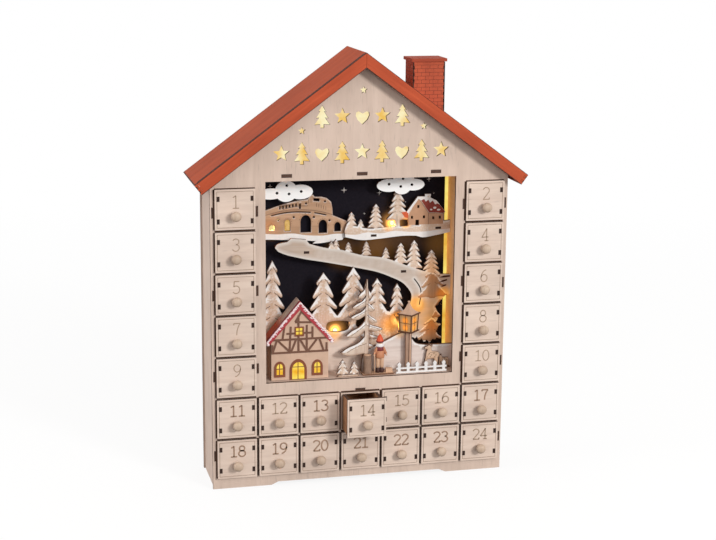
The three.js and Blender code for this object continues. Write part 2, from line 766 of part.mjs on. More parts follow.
function hilltopVillage() {
  const ground = smooth([[-8, 143], [-5, 149], [3, 147.5], [17.9, 144.3], [33.2, 145], [58.7, 145.4]], 12);
  const bank = smooth([[90, 135.2], [75.1, 133.1], [66.3, 135.1], [50.8, 135.4], [27.3, 133.4], [10, 132.8],
    [-7, 136.5]], 14);
  const base = polygon([...ground, [wallEnd, 150.2], [wallEnd, 137.6], ...bank]);
  const house = polygon([[58.7, 144], [58.5, 156.5], [56.8, 160.2], [58.4, 162.5], [68.3, 175.6], [76, 175.4],
    [76, 177.7], [82, 177.7], [81.8, 174], [88, 171], [97.7, 159.1], [96.2, 156.8], [95.8, 144]]);
  const barn = polygon([[51.2, 159.6], [58.6, 161], [58.6, 153.6], [55, 154.4]]);
  const trees = [fir(-0.7, 146, 162, 5.5, 3), fir(8.9, 144, 154.4, 3.6, 2), fir(24.6, 143, 169.6, 8.4, 5),
    fir(47.4, 144, 184, 11.5, 5, 8)];
  const windows = [[69, 165.2], [62.4, 154.3], [75.1, 154.3], [85, 153], [92, 153.3]].map(([x, z]) => polygon([
    [x - 1.1, z - 1.5], [x + 1.1, z - 1.5], [x + 1.1, z + 1.5], [x - 1.1, z + 1.5]]));
  const door = polygon([[66.2, 145.8], [70, 145.8], [70, 151.6], [66.2, 151.6]]);
  const board = layer(hilltopFront, [base, house, barn, ...trees], [...windows, door]);
  return join([board, bracket(17, 28, hilltopFront + ply / 2, 136),
    bracket(84, 97, hilltopFront + ply / 2, 142)]);
}

function windingRoad() {
  const kerb = smooth([[-80.1, 129.4], [-76.8, 133.2], [-63.9, 135], [-48.3, 132.9], [-36, 129.2],
    [-24, 126.4], [-11.5, 124.4], [9.6, 118.1], [32.3, 114.5], [50, 108], [74, 99], [92, 95]], 24);
  const verge = smooth([[58, 30], [50, 40], [54, 52], [60.6, 66], [61.8, 74.4], [58.3, 81.3], [51.4, 88.3],
    [39.9, 94.2], [26.4, 99.8], [9.7, 104.2], [-27.9, 112.5], [-47.6, 116.3], [-67.1, 121.3],
    [-76.8, 125.4]], 26);
  const bank = [[wallEnd, 94.2], [wallEnd, 73], [98, 72.6], [88, 61], [92.9, 50.5], [89.5, 44.5], [93.3, 41],
    [89.5, 34], [94.5, 27], [86, 26], [81, 23.2], [72, 26], [65, 28.4]];
  const spur = polygon([[-72, 131], [-66.6, 135.8], [-63.8, 138.2], [-48.5, 136.6], [-43, 129]]);
  const edge = smooth([[64.9, 91.7], [69.1, 86.1], [71.9, 80.6], [72.4, 73.9], [70.8, 63.8]], 8);
  const hedge = polygon([...edge, ...edge.map(([x, z]) => [x - 1.1, z - 0.4]).reverse()]);
  const trees = [[-22.4, 124, 133.8, 3.4, 2], [-17.6, 122, 135.8, 4.4, 3], [-5, 120, 132.4, 4.2, 3],
    [13.7, 116, 132.3, 5.4, 4], [34.1, 112, 125.2, 4.4, 3], [49.8, 106, 129.5, 8, 4],
    [63.9, 100, 131.6, 9.5, 5], [82.4, 93, 120.9, 10, 5]].map((tree) => fir(...tree));
  const board = layer(roadFront, [polygon([...kerb, ...bank, ...verge]), spur, ...trees], [hedge]);
  return join([board, bracket(-52, -44, roadFront + ply / 2, 123.5),
    bracket(49, 57, roadFront + ply / 2, 99.5)]);
}

function firForest() {
  const crest = smooth([[-wallEnd, 52], [-60, 46], [-30, 56], [0, 60], [25, 61], [41, 57], [48, 36],
    [52, 0]], 18);
  const trees = [[-84, 40, 118.2, 15.5, 6], [-31.9, 50, 103.5, 16.5, 4], [-1, 52, 108, 17, 4],
    [12.5, 56, 92.1, 5, 3], [23.9, 56, 95, 11.5, 4], [44.8, 54, 88.7, 8.6, 4]].map((tree) => fir(...tree));
  const glade = ellipse(-12, 39, 10, 4.2, 12);
  const board = layer(forestFront, [polygon([...crest, [-wallEnd, 0]]), ...trees], [glade]);
  return board.subtract(wirePassage(forestFront));
}

function snowHill() {
  const crest = smooth([[6, 0], [7.5, 14], [12, 22], [30.3, 30.4], [48.4, 38.2], [58, 33],
    [68, 25.2], [wallEnd, 24.2]], 20);
  return layer(hillFront, [polygon([...crest, [wallEnd, 0]])]);
}

// Tall fir: loose boughs on a slender trunk, each given by where it leaves the trunk above and
// below, and by its tip. A bough falls steeply, flattens, and its underside sags.
function bough(stem, [above, below, tip, tipHeight]) {
  const reach = tip - stem;
  const fall = above - tipHeight;
  const sag = Math.min(tipHeight, below) - 1.5;
  return polygon([[stem, above], [stem + 0.35 * reach, above - 0.5 * fall],
    [stem + 0.8 * reach, above - 0.75 * fall], [tip, tipHeight], [stem + 0.6 * reach, sag],
    [stem + 0.1 * reach, below], [stem, below]]);
}

function tallFir() {
  const stem = 10.3;
  const trunk = polygon([[8.2, seam], [12.3, seam], [12.6, 45], [11, 97], [10, 97], [8.4, 45]]);
  const leftBoughs = [[93, 81.2, 1.5, 79], [81.2, 69.9, -4.5, 68.2], [69.9, 59.9, -6.7, 57.5],
    [58, 44, -11, 38.8], [41, 20.2, -16.4, 21.5]];
  const rightBoughs = [[93, 78.5, 15.5, 79.6], [78.5, 65.2, 18.4, 65.5], [65.2, 56, 21.3, 53],
    [54, 45, 27, 44.6], [43, 40, 23.1, 36.3], [34, 28, 17.6, 27.3]];
  return layer(firFront, [trunk, ...[...leftBoughs, ...rightBoughs].map((row) => bough(stem, row))]);
}

// Cottage: gabled front with lit windows, two side walls and a steep roof.
function cottage() {
  const middle = grown(-60.3);
  const wallHalf = grown(29);
  const roofHalf = grown(34.9);
  const eave = grown(39.2);
  const peak = grown(80.5);
  const front = fenceFront + thinPly;
  const back = forestFront - thinPly;
  const rise = (peak - eave) / roofHalf;
  const roofDrop = thinPly * Math.sqrt(1 + rise * rise);
  const left = middle - wallHalf;
  const right = middle + wallHalf;
  const under = peak - roofDrop;
  const gable = polygon([[left, seam], [right, seam], [right, under - wallHalf * rise + 1],
    [middle, under + 1], [left, under - wallHalf * rise + 1]]);
  const openings = [arch(-85.6, -76.2, 4.4, 18.8), arch(-47.4, -38, 4.4, 18.8),
    arch(-70.6, -53.6, seam - ply, 21), polygon([[-64.4, 46], [-57.6, 46], [-57.6, 53.2], [-64.4, 53.2]])];
  const wall = cut(plate(gable, front), openings.map((shape) => drawnPlate(shape, front - ply, 3 * ply)));
  const cheeks = [left, right - ply].map((x) => bar(x, x + ply, front, back, seam,
    under - (wallHalf - ply) * rise - roofDrop / 2));
  const chevron = (depth) => polygon([[middle, peak], [middle + roofHalf, eave],
    [middle + roofHalf - 0.6 * depth, eave - 0.5 * depth],
    [middle, peak - depth * Math.sqrt(1 + rise * rise)],
    [middle - roofHalf + 0.6 * depth, eave - 0.5 * depth], [middle - roofHalf, eave]]);
  const slopes = plate(chevron(thinPly), fenceFront, back - fenceFront);
  const barge = plate(chevron(grown(5.5)), fenceFront, thinPly + seam);
  return join([wall, ...cheeks, slopes, barge]);
}

function smallFirs() {
  return layer(fenceFront, [fir(-16.8, 1, 18.3, 6.4, 3), fir(-4.9, 1, 16.3, 5.4, 3),
    polygon([[-23, seam], [0.5, seam], [-1, 2.4], [-21, 2.4]])], [], thinPly);
}

function picketFence() {
  const pickets = 6;
  const pitch = 9.4;
  const first = 42;
  const last = first + (pickets - 1) * pitch;
  const slats = [];
  for (let i = 0; i < pickets; i += 1) {
    const x = first + i * pitch;
    slats.push(polygon([[x - 1.5, 1], [x + 1.5, 1], [x + 1.5, 8.4], [x + 2.1, 9.2],
      [x, 12], [x - 2.1, 9.2], [x - 1.5, 8.4]]));
  }
  const rails = [[seam, 2.2], [4.6, 6.4]].map(([low, high]) => polygon([
    [first - 3, low], [last + 3, low], [last + 3, high], [first - 3, high]]));
  return layer(fenceFront, [...slats, ...rails], [], thinPly);
}

// Street lamp: a square post and an open lantern, both turned corner to front.
function squareFrame(x, z0, z1, half0, half1) {
  const geometry = new THREE.CylinderGeometry(half1, half0, z1 - z0, 4);
  geometry.rotateX(Math.PI / 2);
  geometry.translate(x, 0, (z0 + z1) / 2);
  return solid(geometry);
}

// A small piece drawn round its own middle, set in the room at its depth.
function setAt(depth, solids) {
  return join(solids).scale([villageScale, villageScale, villageScale]).translate([0, depth, 0]);
}

function lampPost() {
  const x = 54;
  const post = squareFrame(x, seam, 41.5, 3.2, 3.2);
  const foot = squareFrame(x, seam, 2.3, 5, 5);
  const tray = squareFrame(x, 41, 42.5, 11, 11.4);
  const body = squareFrame(x, 42, 60, 11, 12.4).subtract(squareFrame(x, 42.5, 60.2, 9.2, 10.6));
  const panes = [45, 135].map((turn) => {
    const geometry = new THREE.BoxGeometry(9.6, 40, 14);
    geometry.rotateZ(THREE.MathUtils.degToRad(turn));
    geometry.translate(x, 0, 51);
    return solid(geometry);
  });
  const rim = squareFrame(x, 59.5, 61, 12.4, 12.4);
  const eaves = squareFrame(x, 60.5, 64, 11.4, 4.6);
  const spire = squareFrame(x, 63.8, 70, 4.7, 1);
  const finial = turned([[0, 0], [0.9, 0], [0.8, 2], [1.6, 3.4], [0, 5]], 8, x, 0, 68.5);
  return setAt(lampMiddle, [post, foot, tray, cut(body, panes), rim, eaves, spire, finial]);
}

// Turned figure in a pointed cap beside a tree stump, on one small base.
function walkerAndStump() {
  const x = 22.4;
  const base = plate(polygon([[4, seam], [36.5, seam], [36.5, 1.8], [4, 1.8]]), -4.8, 9);
  const gown = turned([[0, 1], [5.2, 1], [4.9, 6], [3.8, 20.5], [0, 20.5]], 9, x, 0, 0);
  const coat = turned([[0, 19], [4.9, 19.6], [4.4, 24], [3, 29.5], [0, 29.5]], 9, x, 0, 0);
  const collar = turned([[0, 28], [3.6, 28.2], [3.9, 29.6], [3.2, 31], [0, 31]], 9, x, 0, 0);
  const head = turned([[0, 29.5], [2.4, 30.2], [3.1, 32.6], [2.6, 35], [0, 36]], 9, x, 0, 0);
  const cap = turned([[0, 33.4], [3.9, 33.6], [3.6, 35.4], [2.2, 38.6], [0.6, 41.2], [0, 41.4]], 9, x, 0, 0);
  const arms = [-1, 1].map((side) => {
    const geometry = new THREE.CylinderGeometry(1.3, 1.5, 9.5, 5);
    geometry.rotateX(Math.PI / 2);
    geometry.rotateY(-side * 0.42);
    geometry.translate(x + side * 4.6, -1, 24.6);
    return solid(geometry);
  });
  const staff = turned([[0, 1], [0.8, 1], [0.8, 23], [0, 23]], 5, x - 6, -1, 0);
  const stump = turned([[0, 1], [4.6, 1], [4.2, 4], [4.2, 20.6], [0, 20.6]], 9, 9.6, 0, 0);
  const log = bar(28.5, 35.5, -2.4, 2.4, 1, 5.6);
  return setAt(walkerMiddle, [base, gown, coat, collar, head, cap, ...arms, staff, stump, log]);
}

function deerPair() {
  const stag = polygon([[71, seam], [73.2, seam], [74.6, 10], [82, 10.4], [84, seam], [86, seam], [86.6, 11],
    [88, 14], [86.4, 17.4], [80, 18.4], [78.8, 22.6], [79.6, 26.4], [77.6, 24.8], [76.6, 27.6], [75.4, 24.2],
    [72, 22.8], [71.6, 21.2], [75, 20.4], [73.6, 15]]);
  const fawn = polygon([[87, seam], [88.6, seam], [89.4, 6], [95, 6.2], [96, seam], [97.4, seam], [98, 8],
    [97, 10.8], [91, 11.2], [90, 14.6], [88.6, 13.4], [86.6, 12.8], [87.8, 11.4]]);
  const ground = polygon([[69, seam], [99.5, seam], [98, 2.4], [71, 2.4]]);
  return layer(deerFront, [stag, fawn, ground], [], thinPly);
}

// Assembly.
piece('front_panel', frontPanel(), plywood);
piece('back_panel', backPanel(), plywood);
piece('left_side_board', sideBoard(-1), plywood);
piece('right_side_board', sideBoard(1), plywood);
piece('left_drawer_rack', towerRack(-1), plywood);
piece('right_drawer_rack', towerRack(1), plywood);
piece('base_drawer_rack', baseRack(), plywood);
piece('scene_floor', sceneFloor(), plywood);
piece('scene_ceiling', sceneCeiling(), plywood);
piece('left_roof_board', roofBoard(-1), roofRed);
piece('right_roof_board', roofBoard(1), roofRed);
piece('left_gable_band', roofBand(-1), bandRed);
piece('right_gable_band', roofBand(1), bandRed);
piece('chimney_body', chimneyBody(), brickRed);
piece('chimney_cap', chimneyCap(), brickRed);

const drawerSolid = drawer();
drawerCells().forEach(({ x, z }, i) => {
  const number = i + 1;
  const mesh = piece(`drawer_${String(number).padStart(2, '0')}`, drawerSolid, plywood);
  mesh.position.set(x, number === openDrawer ? -openBy : 0, z);
});

piece('battery_case', batteryCase(), blackPlastic);
piece('battery_lid', batteryLid(), blackPlastic);
piece('switch_slider', switchSlider(), blackPlastic);
piece('upper_battery_cell', batteryCell(1), cellGreen);
piece('lower_battery_cell', batteryCell(-1), cellGreen);
piece('light_string', lightString(), wireSilver);

piece('sky_board', skyBoard(), nightBlack, village);
piece('left_cloud', cloud([[-84, 183.9, 13, 5.6], [-68.5, 186, 11.4, 10.6], [-54, 185, 12.6, 7.4]], -69,
  [[-67.8, 191.8], [-77.7, 184.5], [-65.5, 183.3], [-53.2, 185.4]]), snowWhite, village);
piece('right_cloud', cloud([[37, 188.5, 12.8, 6.5], [50.5, 187.5, 9.6, 8.4], [52, 194, 11, 7.6],
  [62.3, 188.6, 11.6, 6]], 52, [[36.9, 189.8], [49.1, 187.1], [60.7, 188.6], [51.4, 195.2]]),
snowWhite, village);
piece('viaduct_train', viaductTrain(), warmWood, village);
piece('hilltop_village', hilltopVillage(), warmWood, village);
piece('winding_road', windingRoad(), warmWood, village);
piece('fir_forest', firForest(), warmWood, village);
piece('snow_hill', snowHill(), warmWood, village);
piece('tall_fir', tallFir(), snowWhite, village);
piece('half_timbered_cottage', cottage(), warmWood, village);
piece('small_firs', smallFirs(), snowWhite, village);
piece('picket_fence', picketFence(), snowWhite, village);
piece('street_lamp', lampPost(), warmWood, village);
piece('walker_and_stump', walkerAndStump(), warmWood, village);
piece('deer_pair', deerPair(), warmWood, village);

// The origin is the middle of the whole object's footprint, on the table.
const extent = new THREE.Box3().setFromObject(calendar);
calendar.position.y = -(extent.min.y + extent.max.y) / 2;

export default calendar;
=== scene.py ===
import math
import random

import bmesh
import bpy
import numpy as np
from mathutils import Matrix, Vector
from mathutils.geometry import delaunay_2d_cdt


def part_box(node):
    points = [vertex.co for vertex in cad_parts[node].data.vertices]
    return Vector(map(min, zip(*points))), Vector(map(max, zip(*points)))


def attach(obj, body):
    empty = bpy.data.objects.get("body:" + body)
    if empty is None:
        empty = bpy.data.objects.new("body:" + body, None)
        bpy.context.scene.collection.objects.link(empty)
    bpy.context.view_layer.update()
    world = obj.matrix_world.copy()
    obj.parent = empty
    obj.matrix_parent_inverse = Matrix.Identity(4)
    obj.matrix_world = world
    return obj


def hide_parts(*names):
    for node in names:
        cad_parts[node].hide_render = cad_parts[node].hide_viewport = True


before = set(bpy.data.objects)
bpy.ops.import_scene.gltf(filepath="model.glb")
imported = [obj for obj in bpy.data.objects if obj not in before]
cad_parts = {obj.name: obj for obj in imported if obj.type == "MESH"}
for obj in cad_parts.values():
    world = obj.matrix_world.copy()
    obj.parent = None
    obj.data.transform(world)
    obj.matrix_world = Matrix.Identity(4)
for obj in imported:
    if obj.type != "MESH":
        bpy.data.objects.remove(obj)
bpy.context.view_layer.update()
MM = 0.001


# Photographer's table
# A white sweep that the house stands on, under soft lamps from the upper right, the front and the left.
# The camera stands left of the house, a little above its ridge, and looks down at it.
camera_turn = 0.2417
camera_dip = 0.2219
camera_roll = -0.0085
lens_to_width = 1559.17 / 716
sensor_width = 36.0
front_face_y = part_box("front_panel")[0][1]
camera_place = Vector((-363.14 * MM, -1459.2 * MM + front_face_y, 556.62 * MM))

ahead = Vector((math.sin(camera_turn) * math.cos(camera_dip), math.cos(camera_turn) * math.cos(camera_dip),
                -math.sin(camera_dip)))
level_right = Vector((math.cos(camera_turn), -math.sin(camera_turn), 0.0))
level_down = level_right.cross(ahead) * -1.0
right = math.cos(camera_roll) * level_right + math.sin(camera_roll) * level_down
down = -math.sin(camera_roll) * level_right + math.cos(camera_roll) * level_down
if down.z > 0:
    down = -down

camera_data = bpy.data.cameras.new("camera")
camera_data.sensor_width = sensor_width
camera_data.lens = sensor_width * lens_to_width
camera = bpy.data.objects.new("camera", camera_data)
turn = Matrix((right, -down, -ahead)).transposed()
camera.matrix_world = Matrix.Translation(camera_place) @ turn.to_4x4()
bpy.context.collection.objects.link(camera)
scene = bpy.context.scene
scene.camera = camera
scene.view_settings.view_transform = "Standard"


def soft_lamp(name, place, aim, width, power, colour=(1.0, 1.0, 1.0)):
    data = bpy.data.lights.new(name, "AREA")
    data.shape = "DISK"
    data.size = width
    data.energy = power
    data.color = colour
    lamp = bpy.data.objects.new(name, data)
    lamp.location = place
    lamp.rotation_euler = (Vector(aim) - Vector(place)).to_track_quat("-Z", "Y").to_euler()
    bpy.context.collection.objects.link(lamp)


house_middle = (0.0, 0.0, 0.22)
soft_lamp("key_lamp", (1.05, -1.95, 1.0), house_middle, 0.5, 32.0, (1.0, 0.99, 0.96))
soft_lamp("front_lamp", (0.2, -2.3, 0.3), house_middle, 0.9, 9.0, (1.0, 0.98, 0.95))
soft_lamp("side_lamp", (-2.3, -0.2, 0.6), house_middle, 1.2, 23.0, (1.0, 0.97, 0.95))


def blank_material(name):
    material = bpy.data.materials.new(name)
    material.use_nodes = True
    material.node_tree.nodes.clear()
    return material, material.node_tree


def connect(tree, node, inputs):
    """Sets a node's inputs: a node or a socket is linked, anything else is its value."""
    for socket, value in inputs.items():
        if isinstance(value, bpy.types.Node):
            value = value.outputs[0]
        if isinstance(value, bpy.types.NodeSocket):
            tree.links.new(value, node.inputs[socket])
        else:
            node.inputs[socket].default_value = value


def wired(tree, kind, inputs=None, **settings):
    """A new node; a shader node's kind is named without its prefix."""
    node = tree.nodes.new(kind if kind.startswith(("Geometry", "NodeGroup")) else "ShaderNode" + kind)
    for setting, value in settings.items():
        setattr(node, setting, value)
    connect(tree, node, inputs or {})
    return node


def calc(tree, operation, *values):
    """One step of arithmetic."""
    return wired(tree, "Math", dict(enumerate(values)), operation=operation)


def object_place(tree):
    return wired(tree, "TexCoord").outputs["Object"]


def ranged(tree, value, from_low, from_high, to_low=0.0, to_high=1.0):
    """Maps one range of values to another."""
    return wired(tree, "MapRange", {"Value": value, "From Min": from_low, "From Max": from_high,
                                    "To Min": to_low, "To Max": to_high})


def seen_directly(tree):
    """1 for the camera and for mirror and glass rays, 0 for the light on the object."""
    path = wired(tree, "LightPath")
    first = calc(tree, "MAXIMUM", path.outputs["Is Camera Ray"], path.outputs["Is Glossy Ray"])
    return calc(tree, "MAXIMUM", first, path.outputs["Is Transmission Ray"])


def far_share(tree, near, start, end):
    """Grows from `near` at the start distance from the house to 1 at the end distance."""
    away = wired(tree, "VectorMath", {0: object_place(tree)}, operation="LENGTH")
    return ranged(tree, away.outputs["Value"], start, end, near)


world = bpy.data.worlds.new("studio")
scene.world = world
world.use_nodes = True
tree = world.node_tree
tree.nodes.clear()
room_light = wired(tree, "Background", {"Color": (1.0, 0.98, 0.96, 1.0), "Strength": 0.75})
white_backdrop = wired(tree, "Background", {"Color": (1.0, 1.0, 1.0, 1.0)})
either = wired(tree, "MixShader", {0: seen_directly(tree), 1: room_light, 2: white_backdrop})
wired(tree, "OutputWorld", {"Surface": either})

sweep_material, tree = blank_material("white_sweep")
sweep_paper = wired(tree, "BsdfDiffuse", {"Color": (0.95, 0.95, 0.95, 1.0)})
sweep_lift = wired(tree, "Emission", {"Strength": seen_directly(tree)})
paper_share = wired(tree, "MixShader", {0: far_share(tree, 0.86, 0.45, 1.6), 1: sweep_paper, 2: sweep_lift})
wired(tree, "OutputMaterial", {"Surface": paper_share})
sweep_mesh = bpy.data.meshes.new("sweep")
sweep_half = 6.0
sweep_corners = [(x * sweep_half, y * sweep_half, 0.0) for x, y in ((-1, -1), (1, -1), (1, 1), (-1, 1))]
sweep_mesh.from_pydata(sweep_corners, [], [(0, 1, 2, 3)])
sweep_mesh.materials.append(sweep_material)
sweep = bpy.data.objects.new("sweep", sweep_mesh)
bpy.context.collection.objects.link(sweep)


# Plywood carcass
# Front and back panels, side boards, racks, scene floor and ceiling are 3 mm plywood, cut by laser and
# glued by their tenons. The veneer is pale and slightly pink, and every cut edge is burnt brown.
GRAIN_FINE = 60.0
GRAIN_LONG = 5.0


def noise(tree, place, scale, detail=2.0, **settings):
    """Grey value of a noise pattern."""
    return wired(tree, "TexNoise", {"Vector": place, "Scale": scale, "Detail": detail, **settings})


def attribute(tree, name):
    return wired(tree, "Attribute", attribute_name=name).outputs["Fac"]


def wood_grain(tree, along, pale, dark, spread=1.0, spot=None):
    """Colour and bump height of a veneer whose fibres run along one axis."""
    spot = spot or object_place(tree)
    stretch = [GRAIN_LONG if axis == along else GRAIN_FINE for axis in "XYZ"]
    fibres = wired(tree, "Mapping", {"Scale": stretch, "Vector": spot})
    streaks = noise(tree, fibres, 2.4, 6.0, Roughness=0.62, Distortion=0.6)
    ramp = wired(tree, "ValToRGB", {0: streaks})
    ends = ((0.5 - 0.2 * spread, dark), (0.5 + 0.17 * spread, pale))
    for element, (place, tone) in zip(ramp.color_ramp.elements, ends):
        element.position = place
        element.color = (*tone, 1.0)
    shade = ranged(tree, noise(tree, spot, 22.0, 3.0), 0.3, 0.7, 0.9, 1.06)
    pores = ranged(tree, noise(tree, fibres, 14.0, 2.0), 0.62, 0.72, 1.0, 0.86)
    shading = calc(tree, "MULTIPLY", shade, pores)
    tinted = wired(tree, "VectorMath", {0: ramp, "Scale": shading}, operation="SCALE")
    return tinted, streaks


def mix_colour(tree, share, first, second):
    """Blend of two colours, each a socket, a node or three numbers."""
    ends = [(*end, 1.0) if isinstance(end, (tuple, list)) else end for end in (first, second)]
    return wired(tree, "Mix", {0: share, 6: ends[0], 7: ends[1]}, data_type="RGBA").outputs[2]


LAMP_TINT = (1.0, 0.55, 0.15)
LAMP_SHARE = 0.6


def finish_wood(tree, colour, height, roughness=0.62, bump=0.12, sheen=0.3, glow=None):
    """Wood under clear matt varnish; `glow` is the strength of the warm light that falls on it."""
    shader = wired(tree, "BsdfPrincipled", {"Roughness": roughness, "Specular IOR Level": sheen})
    if glow:
        lit = wired(tree, "VectorMath", {0: colour, 1: [LAMP_SHARE * c for c in LAMP_TINT]},
                    operation="MULTIPLY")
        tree.links.new(lit.outputs[0], shader.inputs["Emission Color"])
        tree.links.new(glow.outputs[0], shader.inputs["Emission Strength"])
        warmed = wired(tree, "Mix", {0: glow, 6: colour, 7: (*LAMP_TINT, 1.0)}, data_type="RGBA",
                       blend_type="MULTIPLY")
        colour = warmed.outputs[2]
    relief = wired(tree, "Bump", {"Strength": bump, "Distance": 0.0004, "Height": height})
    connect(tree, shader, {"Base Color": colour, "Normal": relief})
    wired(tree, "OutputMaterial", {"Surface": shader})


def warm_pools(tree, spots):
    """Light of the small lamps on a board: each spot is a place in mm, a reach in mm and a strength."""
    place = object_place(tree)
    total = None
    for spot, reach, power in spots:
        away = wired(tree, "VectorMath", {0: place, 1: [c * MM for c in spot]}, operation="DISTANCE")
        fading = ranged(tree, away.outputs["Value"], reach * MM, 0.0, 0.0, power)
        fading.interpolation_type = "SMOOTHERSTEP"
        total = calc(tree, "ADD", total, fading) if total else fading
    return total


VENEER_PALE = (0.64, 0.50, 0.42)
VENEER_DARK = (0.575, 0.44, 0.365)
BURNT_EDGE = (0.034, 0.015, 0.009)


def plywood(name, along="Z", faces="Y", pale=VENEER_PALE, dark=VENEER_DARK, edge=BURNT_EDGE, spots=()):
    """Plywood whose veneered faces look along the axes in `faces`; the rest is a burnt edge."""
    material, tree = blank_material(name)
    veneer, height = wood_grain(tree, along, pale, dark)
    place = wired(tree, "TexCoord")
    direction = wired(tree, "SeparateXYZ", {0: place.outputs["Normal"]})
    facing = None
    for axis in faces:
        size = calc(tree, "ABSOLUTE", direction.outputs[axis])
        facing = calc(tree, "MAXIMUM", facing, size) if facing else size
    is_face = calc(tree, "GREATER_THAN", facing, 0.6)
    scorch = noise(tree, place.outputs["Object"], 900.0)
    edge_tone = mix_colour(tree, scorch, edge, [2.6 * c for c in edge])
    finish_wood(tree, mix_colour(tree, is_face, edge_tone, veneer), height, glow=warm_pools(tree, spots))
    return material


def dress(node, *materials):
    """Gives a CAD node its finish."""
    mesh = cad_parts[node].data
    mesh.materials.clear()
    for material in materials:
        mesh.materials.append(material)


panel_ply = plywood("panel_plywood")
side_ply = plywood("side_plywood", faces="X")
rack_ply = plywood("rack_plywood", along="Y", faces="XZ")
shelf_ply = plywood("shelf_plywood", along="X", faces="Z")
for node in ("front_panel", "back_panel"):
    dress(node, panel_ply)
for node in ("left_side_board", "right_side_board"):
    dress(node, side_ply)
STRIP_PLACE = (103.5, 33.0)
lit_ply = plywood("lit_rack_plywood", along="Y", faces="XZ",
                  spots=[((*STRIP_PLACE, z), 50.0, 0.62) for z in (125.0, 165.0, 205.0, 246.0, 291.0)])
for node in ("left_drawer_rack", "base_drawer_rack"):
    dress(node, rack_ply)
dress("right_drawer_rack", lit_ply)
for node in ("scene_floor", "scene_ceiling"):
    dress(node, shelf_ply)


# Roof and chimney
# Two plywood roof boards with a front band each, stained red with the grain showing through. The eave
# fingers' cut ends stay dark. The chimney is a small box of the same wood with engraved brick courses.
def roof_tilt():
    """Slope of the roof, read from the widest face that looks up."""
    faces = [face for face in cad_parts["left_roof_board"].data.polygons if face.normal.z > 0.4]
    slope = max(faces, key=lambda face: face.area)
    return math.atan2(abs(slope.normal.x), slope.normal.z)


tilt = roof_tilt()


def roof_wood(name, pale, dark, along, margins):
    """Stain over grain that follows the slope; each burnt margin is an axis, a test and a limit."""
    material, tree = blank_material(name)
    mirrored = wired(tree, "SeparateXYZ", {0: object_place(tree)})
    right_hand = calc(tree, "ABSOLUTE", mirrored.outputs["X"])
    joined = wired(tree, "CombineXYZ", {"X": right_hand, "Y": mirrored.outputs["Y"],
                                        "Z": mirrored.outputs["Z"]})
    level = wired(tree, "VectorRotate", {"Angle": -tilt, "Vector": joined}, rotation_type="Y_AXIS")
    colour, height = wood_grain(tree, along, pale, dark, 1.2, level.outputs[0])
    split = wired(tree, "SeparateXYZ", {0: level})
    burnt = None
    for axis, operation, limit in margins:
        past = calc(tree, operation, split.outputs[axis], limit * MM)
        burnt = calc(tree, "MAXIMUM", past, burnt) if burnt else past
    colour = mix_colour(tree, burnt, colour, (0.075, 0.022, 0.014))
    finish_wood(tree, colour, height, roughness=0.68, bump=0.2, sheen=0.15)
    return material


def plain_veneer(name, along, pale, dark, spread=1.0, **finish):
    """Grain along one axis of the house, and nothing else."""
    material, tree = blank_material(name)
    colour, height = wood_grain(tree, along, pale, dark, spread)
    finish_wood(tree, colour, height, **finish)
    return material


def stained_wood(name, along, pale, dark):
    """Stain with the grain showing through."""
    return plain_veneer(name, along, pale, dark, 1.2, roughness=0.68, bump=0.2, sheen=0.15)


def box_mm(node):
    """Low and high corner of a CAD node's box, in mm."""
    return [Vector(corner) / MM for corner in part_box(node)]


def corners_of(node):
    return [v.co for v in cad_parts[node].data.vertices]


def across_slope(node):
    """Lowest and highest reach of a node's corners, measured square to the roof's slope, in mm."""
    reach = [(abs(co.x) * math.sin(tilt) + co.z * math.cos(tilt)) / MM for co in corners_of(node)]
    return min(reach), max(reach)


BURNT_MARGIN = 0.7
EAVE_MARGIN = 1.0
roof_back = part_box("left_roof_board")[1][1] / MM
band_low, band_high = across_slope("left_gable_band")
eave_reach = max((abs(co.x) * math.cos(tilt) - co.z * math.sin(tilt)) / MM
                 for co in corners_of("left_roof_board"))
roof_stain = roof_wood("roof_stain", (0.45, 0.082, 0.028), (0.33, 0.052, 0.018), "X",
                       [("Y", "GREATER_THAN", roof_back - BURNT_MARGIN),
                        ("X", "GREATER_THAN", eave_reach - EAVE_MARGIN)])
band_stain = roof_wood("band_stain", (0.52, 0.092, 0.036), (0.38, 0.062, 0.024), "X",
                       [("Z", "GREATER_THAN", band_high - 0.5), ("Z", "LESS_THAN", band_low + 0.6)])
chimney_stain = stained_wood("chimney_stain", "Z", (0.52, 0.10, 0.045), (0.38, 0.07, 0.035))
for side in ("left", "right"):
    dress(side + "_roof_board", roof_stain)
    dress(side + "_gable_band", band_stain)
dress("chimney_body", chimney_stain)
dress("chimney_cap", stained_wood("cap_stain", "X", (0.42, 0.075, 0.035), (0.30, 0.05, 0.025)))


